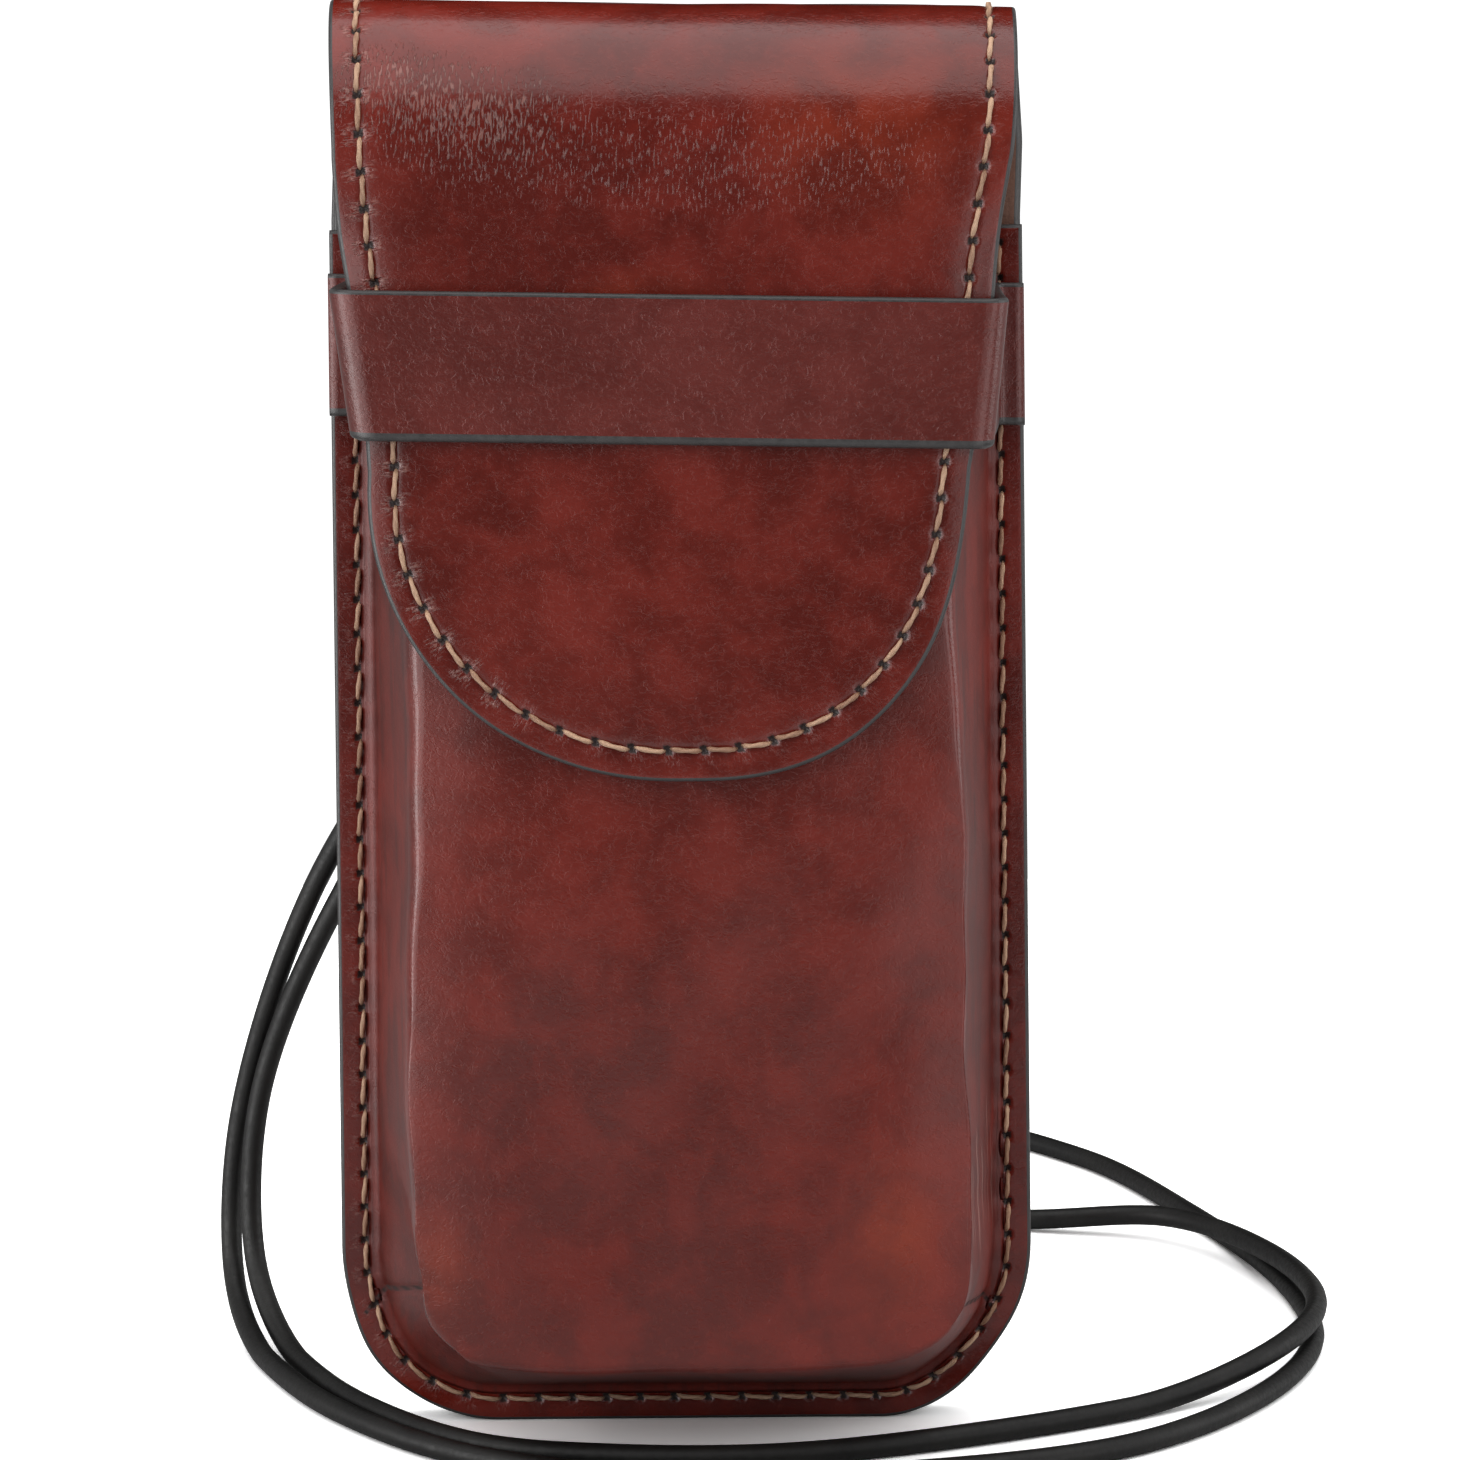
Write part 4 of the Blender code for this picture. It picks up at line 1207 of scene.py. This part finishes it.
def band_line(z, offset):
    """The band's line at heights z, x and depth: tab, foot, wall, corner and front, and its mirror image."""
    z = z[:, None]
    tab_end = side_half_width(z)
    tab_front = FLANGE_FRONT + GAP + BAND_THICK
    wall_foot = tab_end - BAND_TAB + BAND_TAB_RADIUS
    wall_front = flap_half_width(z) + BAND_SIDE_CLEARANCE + BAND_THICK - BAND_CORNER_RADIUS
    foot = arc(wall_foot, tab_front + BAND_TAB_RADIUS, BAND_TAB_RADIUS + offset, 270, 180, 6)
    corner = arc(wall_front, BAND_FRONT - BAND_CORNER_RADIUS, BAND_CORNER_RADIUS - offset, 0, 90, 12)
    tab_x = between(tab_end, foot[0, :, :1], np.array([0.0, 0.5]))
    front_x = corner[0, :, -1:] * (1 - np.linspace(0, 1, 24)[1:])
    tab = np.stack([tab_x, np.full_like(tab_x, tab_front - offset)])
    front = np.stack([front_x, np.full_like(front_x, BAND_FRONT - offset)])
    x, depth = np.concatenate([tab, joined(foot, corner), front], axis=-1)
    return np.hstack([-x, x[:, -2::-1]]), np.hstack([depth, depth[:, -2::-1]])


def retaining_strap(materials):
    """The band: its line carried from its lower edge to its upper one, with painted rounded edges.

    It was put on by hand and slopes a little down to the right.
    """
    width = BAND_TOP_Z - BAND_BOTTOM_Z
    lower = [0.0, 0.07, 0.22, 0.45, 0.75, 1.05, 1.5]
    upper = width - np.array([1.3, 0.8, 0.5, 0.33, 0.17, 0.06, 0.0])
    rise = np.concatenate([lower, np.linspace(2.5, width - 2.5, 12), upper])
    drop = np.maximum(rounding(rise, BAND_LOWER_ROUND), rounding(width - rise))
    faces = []
    for offset, inwards in ((BAND_THICK, 1), (0.0, -1)):
        x, depth = band_line(BAND_BOTTOM_Z + rise, offset)
        z = BAND_BOTTOM_Z + rise[:, None] - BAND_SLOPE * x + BAND_LIFT
        x = x - BAND_LEAN * step_up((depth - 9.0) / 20.0)
        puff = waves(x, z, seed=21, lengths=(48.0, 30.0, 19.0, 11.0), height=0.07)
        grid = seat(x, depth + puff * step_up((depth - 31) / 2), z)
        normal = facing_front(grid, 12, grid.shape[1] // 2)
        faces.append(grid + normal * (inwards * drop * MM)[:, None, None])
    inner, outer = faces
    half, along = outer.shape[:2]
    rows = 2 * half
    index = np.arange(rows * along).reshape(rows, along)
    closing = np.stack([index[-1, :-1], index[0, :-1], index[0, 1:], index[-1, 1:]], axis=1)
    rise = np.append(rise[::-1], rise)
    low = np.minimum(rise[:-1], rise[1:])
    high = np.maximum(rise[:-1], rise[1:])
    painted = np.repeat((high < 1.06) | (low > width - 0.51), along - 1)
    run = run_along(outer[half // 2])
    hide = np.zeros((rows, along, 3))
    hide[..., 0] = run - run[-1] / 2
    hide[..., 1] = rise[:, None] * MM + BAND_ON_HIDE
    hide[:half, :, 2] = 0.1
    notes = {
        "hide": hide,
        "seam": np.full(hide.shape, (0.0, FAR_FROM_SEAM, 0.0)),
        "patch": rub_patches(hide[..., 0] / MM, rise[:, None], BAND_PATCHES),
        "crinkle": np.zeros((rows, along)),
    }
    quads = np.concatenate([grid_faces(rows, along), closing])
    caps = [index[::-1, 0].tolist(), index[:, -1].tolist()]
    kinds = np.append(painted, np.ones(len(closing) + len(caps), int))
    points = np.concatenate([inner[::-1], outer])
    return make_piece("retaining_strap", points, quads, caps, materials, kinds, notes)


# The cord and its patch


def part_way(first, last, t, start, end):
    """The place between two places at a time between two times."""
    return first + (last - first) * (t - start) / (end - start)


def smooth_line(points, steps):
    """Centripetal Catmull-Rom curve through the points, kept above the floor."""
    points = np.asarray(points, float)
    points = np.vstack([2 * points[0] - points[1], points, 2 * points[-1] - points[-2]])
    fine = []
    for a, b, c, d in zip(points, points[1:], points[2:], points[3:]):
        t0, t1, t2, t3 = np.cumsum([0] + [math.dist(p, q) ** 0.5 for p, q in ((a, b), (b, c), (c, d))])
        t = np.linspace(t1, t2, steps, endpoint=False)[:, None]
        ab, bc, cd = part_way(a, b, t, t0, t1), part_way(b, c, t, t1, t2), part_way(c, d, t, t2, t3)
        abc, bcd = part_way(ab, bc, t, t0, t2), part_way(bc, cd, t, t1, t3)
        fine.append(part_way(abc, bcd, t, t1, t2))
    fine = np.vstack([*fine, points[-2:-1]])
    fine[:, 2] = np.maximum(fine[:, 2], FLOOR_Z)
    return fine


def neck_cord(material):
    """A round cord along its route, with both ends in the patch."""
    line = smooth_line(CORD_ROUTE, 24)
    line = even_line(line, 700) * MM
    curve = bpy.data.curves.new("neck_cord_round", "CURVE")
    curve.dimensions = "3D"
    curve.bevel_depth = CORD_DIAMETER / 2 * MM
    curve.bevel_resolution = 5
    curve.use_fill_caps = True
    spline = curve.splines.new("POLY")
    spline.points.add(len(line) - 1)
    spline.points.foreach_set("co", np.hstack([line, np.ones((len(line), 1))]).ravel())
    spline.use_smooth = True
    curve.materials.append(material)
    item = add_object("neck_cord_round", curve)
    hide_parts("neck_cord")
    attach(item, "case")


def cord_patch(materials):
    """Patch on the back: a flat sheet with rounded corners, raised by smooth slopes over the cord's ends."""
    across = np.concatenate([[0.0, 0.02, 0.05], np.linspace(0.09, 0.91, 42), [0.95, 0.98, 1.0]]) * 2 - 1
    tall = PATCH_TOP_Z - PATCH_BOTTOM_Z
    up = np.concatenate([[0.0, 0.012, 0.03], np.linspace(0.06, 0.94, 40), [0.97, 0.988, 1.0]]) * tall
    from_end = np.minimum(up, tall - up)
    short = np.clip(PATCH_CORNER - from_end, 0, PATCH_CORNER)
    half = PATCH_HALF_WIDTH - PATCH_CORNER + np.sqrt(np.maximum(PATCH_CORNER**2 - short**2, 0))
    x = half[:, None] * across
    z = np.broadcast_to((PATCH_BOTTOM_Z + up)[:, None], x.shape)
    bulge_half = (CORD_SPACING + CORD_DIAMETER) / 2
    sides = step_up((bulge_half + PATCH_SLOPE - np.abs(x)) / PATCH_SLOPE)
    top = step_up((PATCH_TOP_Z - PATCH_CORNER - PATCH_SLOPE - z) / PATCH_SLOPE)
    inside = np.minimum(half[:, None] - np.abs(x), from_end[:, None])
    height = PATCH_THICK + (PATCH_BULGE - GAP - PATCH_THICK) * sides * top
    height = height - rounding(inside, PATCH_EDGE_ROUND)
    points = np.stack([seat(x, -GAP - height, z), seat(x, -PATCH_STANDS_OFF, z)])
    rows, columns = x.shape
    face = grid_faces(rows, columns)
    index = np.arange(x.size).reshape(rows, columns)
    rim = [index[0], index[-1, ::-1], index[::-1, 0], index[:, -1]]
    rim = [np.stack([line[:-1], line[1:], line[1:] + x.size, line[:-1] + x.size], axis=1) for line in rim]
    quads = np.concatenate([face, face[:, ::-1] + x.size, *rim])
    notes = {
        "hide": points + (PATCH_ON_HIDE, 0.0, 0.0),
        "seam": np.full(points.shape, (0.0, FAR_FROM_SEAM, 0.0)),
        "patch": np.zeros(2 * x.size),
        "crinkle": np.zeros(2 * x.size),
    }
    kinds = np.repeat([0, 1], [2 * len(face), len(quads) - 2 * len(face)])
    return make_piece("cord_patch", points, quads, [], materials, kinds, notes)


def patch_edge():
    """The sewn edge of the patch, up the left side, over two round corners and down the right side."""
    turn = np.linspace(0, math.pi / 2, 30)
    corner_x = -PATCH_HALF_WIDTH + PATCH_CORNER * (1 - np.cos(turn))
    corner_z = PATCH_TOP_Z - PATCH_CORNER * (1 - np.sin(turn))
    x, z = np.append(-PATCH_HALF_WIDTH, corner_x), np.append(PATCH_BOTTOM_Z + 1.0, corner_z)
    return sewn_edge(both_sides(np.stack([x, z], axis=1)), PATCH_SEAM_INSET, 1)


# Building the case


def dress(piece, slot, *nodes):
    """Hides the nodes of the model that a piece stands for. The piece and the slot are not used."""
    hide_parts(*nodes)


def bend(piece):
    """Bakes the placement of a piece of the strip into its points."""
    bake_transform(piece)


bpy.context.scene.view_settings.view_transform = "Standard"
studio()
photo_camera()
groups = rubbed_colour_group(), creases_group(), puckers_group(), darts_group()
paint, thread, suede, cord_black = edge_paint(), waxed_thread(), suede_lining(groups[2]), black_cord()
outer_leather = leather_material(
    "outer_leather", groups, MIDDLE, (0.23, 0.29), (1000.0, 0.012), (1100.0, 0.035), 0.12, 0.3
)
pouch_leather = leather_material(
    "pouch_leather", groups, MIDDLE, (0.23, 0.29), (1000.0, 0.013), (1100.0, 0.03), 0.05, 0.3, darts=True
)
band_leather = leather_material(
    "band_leather", groups, BAND_MIDDLE, (0.31, 0.37), (950.0, 0.026), (1300.0, 0.065), 0.0, 0.2
)
neck_cord(cord_black)

flap_edge = sewn_edge(flap_outline(), FLAP_SEAM_INSET, STRIP_ROWS)
flap_reach = CROWN_ARC + SPRING_Z - TIP_START_Z + TIP_LENGTH
near_tip = step_up((flap_edge.where[:, 1] - flap_reach + TIP_SEAM_FROM) / TIP_SEAM_FADE)
flap_inset = FLAP_SEAM_INSET + TIP_SEAM_DEEPER * near_tip
flap_middle = middle_line(flap_edge.where[:, 1], flap_reach, FLAP_MIDDLE)
flap_strip = Strip(flap_edge, flap_inset, 1, flap_middle, 3, "crown", "tongue", FRONT_BEND)

back_edge = sewn_edge(back_outline(), SEAM_INSET, STRIP_ROWS)
back_middle = middle_line(back_edge.where[:, 1], CROWN_ARC + SPRING_Z, BACK_MIDDLE)
back_strip = Strip(back_edge, SEAM_INSET, -1, back_middle, 4, "case", "crown", BACK_BEND)

# Each sheet of the strip: name, strip, slot and nodes of the model, then its patches and crinkles
SHEETS = (
    ("flap_leather", flap_strip, "outer_leather", "flap_crown flap_tongue", FLAP_PATCHES, FLAP_CRINKLES),
    ("back_leather", back_strip, "outer_leather", "back_panel", BACK_PATCHES, ()),
    ("flap_lining_sheet", flap_strip, "lining_leather", "flap_crown_lining flap_tongue_lining", (), ()),
    ("back_lining_sheet", back_strip, "lining_leather", "back_lining", (), ()),
)
for name, strip, slot, nodes, patches, crinkles in SHEETS:
    is_lining = slot == "lining_leather"
    materials = [suede if is_lining else outer_leather, paint]
    sheet = strip_sheet(name, strip, materials, patches, crinkles, is_lining)
    dress(sheet, slot, *nodes.split())
    bend(sheet)

front_edge, front = moulded_front([pouch_leather, paint])
strap = retaining_strap([band_leather, paint])
patch = cord_patch([outer_leather, paint])
dress(front, "outer_leather", "front_shell")
dress(strap, "band_leather", "retaining_band")
dress(patch, "outer_leather", "cord_anchor")
for piece in (front, strap, patch):
    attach(piece, "case")

patch_seam = patch_edge()
lining_face = PANEL_THICK + LINING_THICK

# Each seam: name, edge, inset, stitches past its ends, surface, seed, rows per stitch, and its strip
SEAMS = (
    ("flap_stitches", flap_edge, flap_inset, 1,
     lambda x, u, h: over_the_strip(x, u, -h), 31, STRIP_ROWS, flap_strip),
    ("back_stitches", back_edge, SEAM_INSET, 0,
     lambda x, u, h: over_the_strip(x, -u, -h), 32, STRIP_ROWS, back_strip),
    ("flap_lining_stitches", flap_edge, flap_inset, 1,
     lambda x, u, h: over_the_strip(x, u, lining_face + h), 33, STRIP_ROWS, flap_strip),
    ("front_stitches", front_edge, SEAM_INSET, 0,
     lambda x, z, h: seat(x, FLANGE_FRONT + h, z), 34, FRONT_ROWS, None),
    ("patch_stitches", patch_seam, PATCH_SEAM_INSET, 0,
     lambda x, z, h: seat(x, -GAP - PATCH_THICK - h, z), 35, 1, None),
)
for name, edge, inset, beyond, surface, seed, rows_per_stitch, strip in SEAMS:
    stitches = thread_pieces(name, edge, inset, beyond, surface, thread, seed, rows_per_stitch)
    if strip:
        bend(stitches)
    else:
        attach(stitches, "case")
